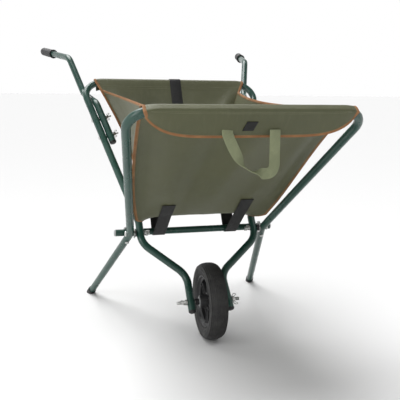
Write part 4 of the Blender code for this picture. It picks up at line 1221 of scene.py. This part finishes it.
def make_straps():
    threads = bmesh.new()
    half = STRAP_WIDTH / 2 - BOX_INSET
    bar_steps = 24
    free_steps = 5
    with_bag = 0.45
    for label, side in SIDES:
        x = side * BOTTOM_STRAP_X
        lift = CLOTH / 2 + STRAP / 2 + STRAP_CLEAR
        begin = BOTTOM_STRAP_TOP[label]
        front = [on_front(x, begin + (1 - begin) * k / 8) - PANEL_IN * lift for k in range(9)]
        rear = [on_rear(x, v) - REAR_IN * lift for v in (0.905, 0.93, 0.955, 0.98, 1.0)]
        centre = vec(x, CROSSBAR.y, CROSSBAR.z)
        reach = CROSSBAR_R + STRAP_CLEAR + STRAP / 2
        first, last = wrap_angles(centre, reach, front[-1], rear[-1])
        around = [centre + yz(first + (last - first) * k / bar_steps) * reach for k in range(bar_steps + 1)]
        # the first part of each free stretch goes with the strap's end pieces, so it stays outside the canvas
        for points, bar_point in ((front, around[0]), (rear, around[-1])):
            edge = points[-1]
            points += [edge.lerp(bar_point, with_bag * k / 3) for k in range(1, 4)]
        for ending, points in (("_front_end", front), ("_rear_end", rear)):
            strap("bottom_strap_" + label + ending, points, [X] * len(points), STRAP_WIDTH, STRAP,
                  "black_webbing", "bag")
        low, high = front[-1], rear[-1]
        path = [low.lerp(around[0], k / free_steps) for k in range(free_steps)] + around
        path += [around[-1].lerp(high, k / free_steps) for k in range(1, free_steps + 1)]
        # weight 1 on the crossbar, and the bag's own weights where the strap's ends take over
        span = Matrix(((high.y - low.y, high.z - low.z), (centre.y - low.y, centre.z + reach - low.z)))
        rise = vec(bag_share(high) - bag_share(low), 1.0 - bag_share(low))
        slope = vec(0.0, *(span.inverted() @ rise))
        start = low - slope * (bag_share(low) / slope.length_squared)
        start.x = 0.0
        end = start + slope / slope.length_squared
        strap("bottom_strap_" + label + "_loop", path, [X] * len(path), STRAP_WIDTH, STRAP, "black_webbing",
              (start + SHIFT, end + SHIFT), stands_for=("bottom_strap_" + label,))
        for v0, v1, spot, inward in ((begin + 0.010, begin + 0.070, on_front, PANEL_IN),
                                     (0.915, 0.955, on_rear, REAR_IN)):
            corners = [spot(x + a * half, v) - inward * (lift + STRAP / 2)
                       for a, v in ((-1, v0), (1, v0), (1, v1), (-1, v1))]
            box_stitch(threads, corners, -inward)
    piece("stitching_bottom_straps", threads, "black_thread", "bag")

    # strap over the rear rim
    x = REAR_STRAP_X
    lift = CLOTH / 2 + STRAP / 2 + 0.0005
    path = [on_rear(x, v) + REAR_IN * lift for v in (0.185, 0.16, 0.13, 0.10, 0.07, 0.04, 0.02)]
    path += [REAR_MID + X * x + (p - REAR_MID).normalized() * (HEM_R + lift)
             for p in hem_points(REAR_MID, REAR_START, REAR_BACK, 14, skip_first=False)]
    last = path[-1]
    path += [last + TAIL_DOWN * (REAR_STRAP_TAIL * k / 5) for k in range(1, 6)]
    strap("rear_rim_strap_webbing", path, [X] * len(path), STRAP_WIDTH, STRAP, "black_webbing",
          stands_for=("rear_rim_strap",))
    threads = bmesh.new()
    corners = [on_rear(x + a * half, v) + REAR_IN * (lift + STRAP / 2)
               for a, v in ((-1, 0.175), (1, 0.175), (1, 0.11), (-1, 0.11))]
    box_stitch(threads, corners, REAR_IN)
    piece("stitching_rim_strap", threads, "black_thread", "wheel_frame")

    # plain patch on the flap
    bm = bmesh.new()
    columns = [-0.018 + 0.026 * k / 8 for k in range(9)]
    patch = [[flap_point(a - 0.008 * k / 6, 0.46 + 0.34 * k / 6) - vec(0, CLOTH / 2 + 0.0011, 0)
              for a in columns] for k in range(7)]
    cloth_solid(bm, patch, grid_uvs(patch), 0.0014)
    piece("flap_patch_sewn", bm, "black_webbing", stands_for=("flap_patch",), sharp=50.0)
    threads = bmesh.new()
    corners = [flap_point(a, b) - vec(0, CLOTH / 2 + 0.0019, 0)
               for a, b in ((-0.017, 0.49), (0.006, 0.49), (-0.001, 0.77), (-0.024, 0.77))]
    for a, b in ((0, 1), (1, 2), (2, 3), (3, 0)):
        stitch_row(threads, [corners[a], corners[b]], [vec(0, -1, 0)] * 2, pitch=0.0030)
    piece("stitching_patch", threads, "black_thread", "leg_frame")


def make_pull_strap():
    """The olive loop: flat legs, edge-on where it turns, and face-on again along the bottom."""
    top = flap_point(PULL_STRAP_X, 0.76)
    front_y = top.y - (TAPE_THICK / 2 + STRAP / 2 + 0.0010)
    shape = ((-0.0602, 0.0000), (-0.0600, 0.0100), (-0.0490, 0.0350), (-0.0370, 0.0580), (-0.0260, 0.0760),
             (-0.0150, 0.0870), (0.0000, 0.0940), (0.0150, 0.0965), (0.0300, 0.0975), (0.0430, 0.0930),
             (0.0495, 0.0800), (0.0508, 0.0600), (0.0512, 0.0300), (0.0515, 0.0100), (0.0515, 0.0000))
    knots = [vec(x, front_y, top.z - drop) for x, drop in shape]
    path = [catmull(knots, k / 5) for k in range(5 * (len(knots) - 1) + 1)]
    widths = []
    total = len(path) - 1
    for i, point in enumerate(path):
        run = (path[min(i + 1, total)] - path[max(i - 1, 0)]).normalized()
        flat = vec(run.z, 0, -run.x)
        share = i / total
        gap = (share - 0.41) / (0.16 if share < 0.41 else 0.085)
        twist = radians(84) * exp(-gap * gap * abs(gap))
        point.y -= 0.010 * sin(pi * share) ** 2
        widths.append(-flat * cos(twist) + vec(0, 1, 0) * sin(twist))
    strap("pull_strap_webbing", path, widths, PULL_STRAP_WIDTH, STRAP, "olive_webbing",
          stands_for=("pull_strap",))
    threads = bmesh.new()
    for centre in (path[0], path[-1]):
        corners = [centre + vec(a * 0.0095, -STRAP / 2, -b)
                   for a, b in ((-1, 0.002), (1, 0.002), (1, 0.0085), (-1, 0.0085))]
        box_stitch(threads, corners, vec(0, -1, 0))
    piece("stitching_pull_strap", threads, "olive_thread", "leg_frame")


def dress_cad_nodes():
    """CAD nodes that stay as they are get the finished materials."""
    for node in frame["nodes"].values():
        for slot in node.material_slots:
            name = slot.material.name.split(".")[0] if slot.material else ""
            if not node.hide_render and name in LOOKS:
                slot.material = LOOKS[name]


make_looks()
place_camera()
set_stage()
make_tubes()
make_hardware()
make_wheel()
body, rows, sides = make_bag()
bindings = make_bindings()
make_straps()
make_pull_strap()
dress_cad_nodes()

bpy.context.scene.view_settings.view_transform = "Standard"
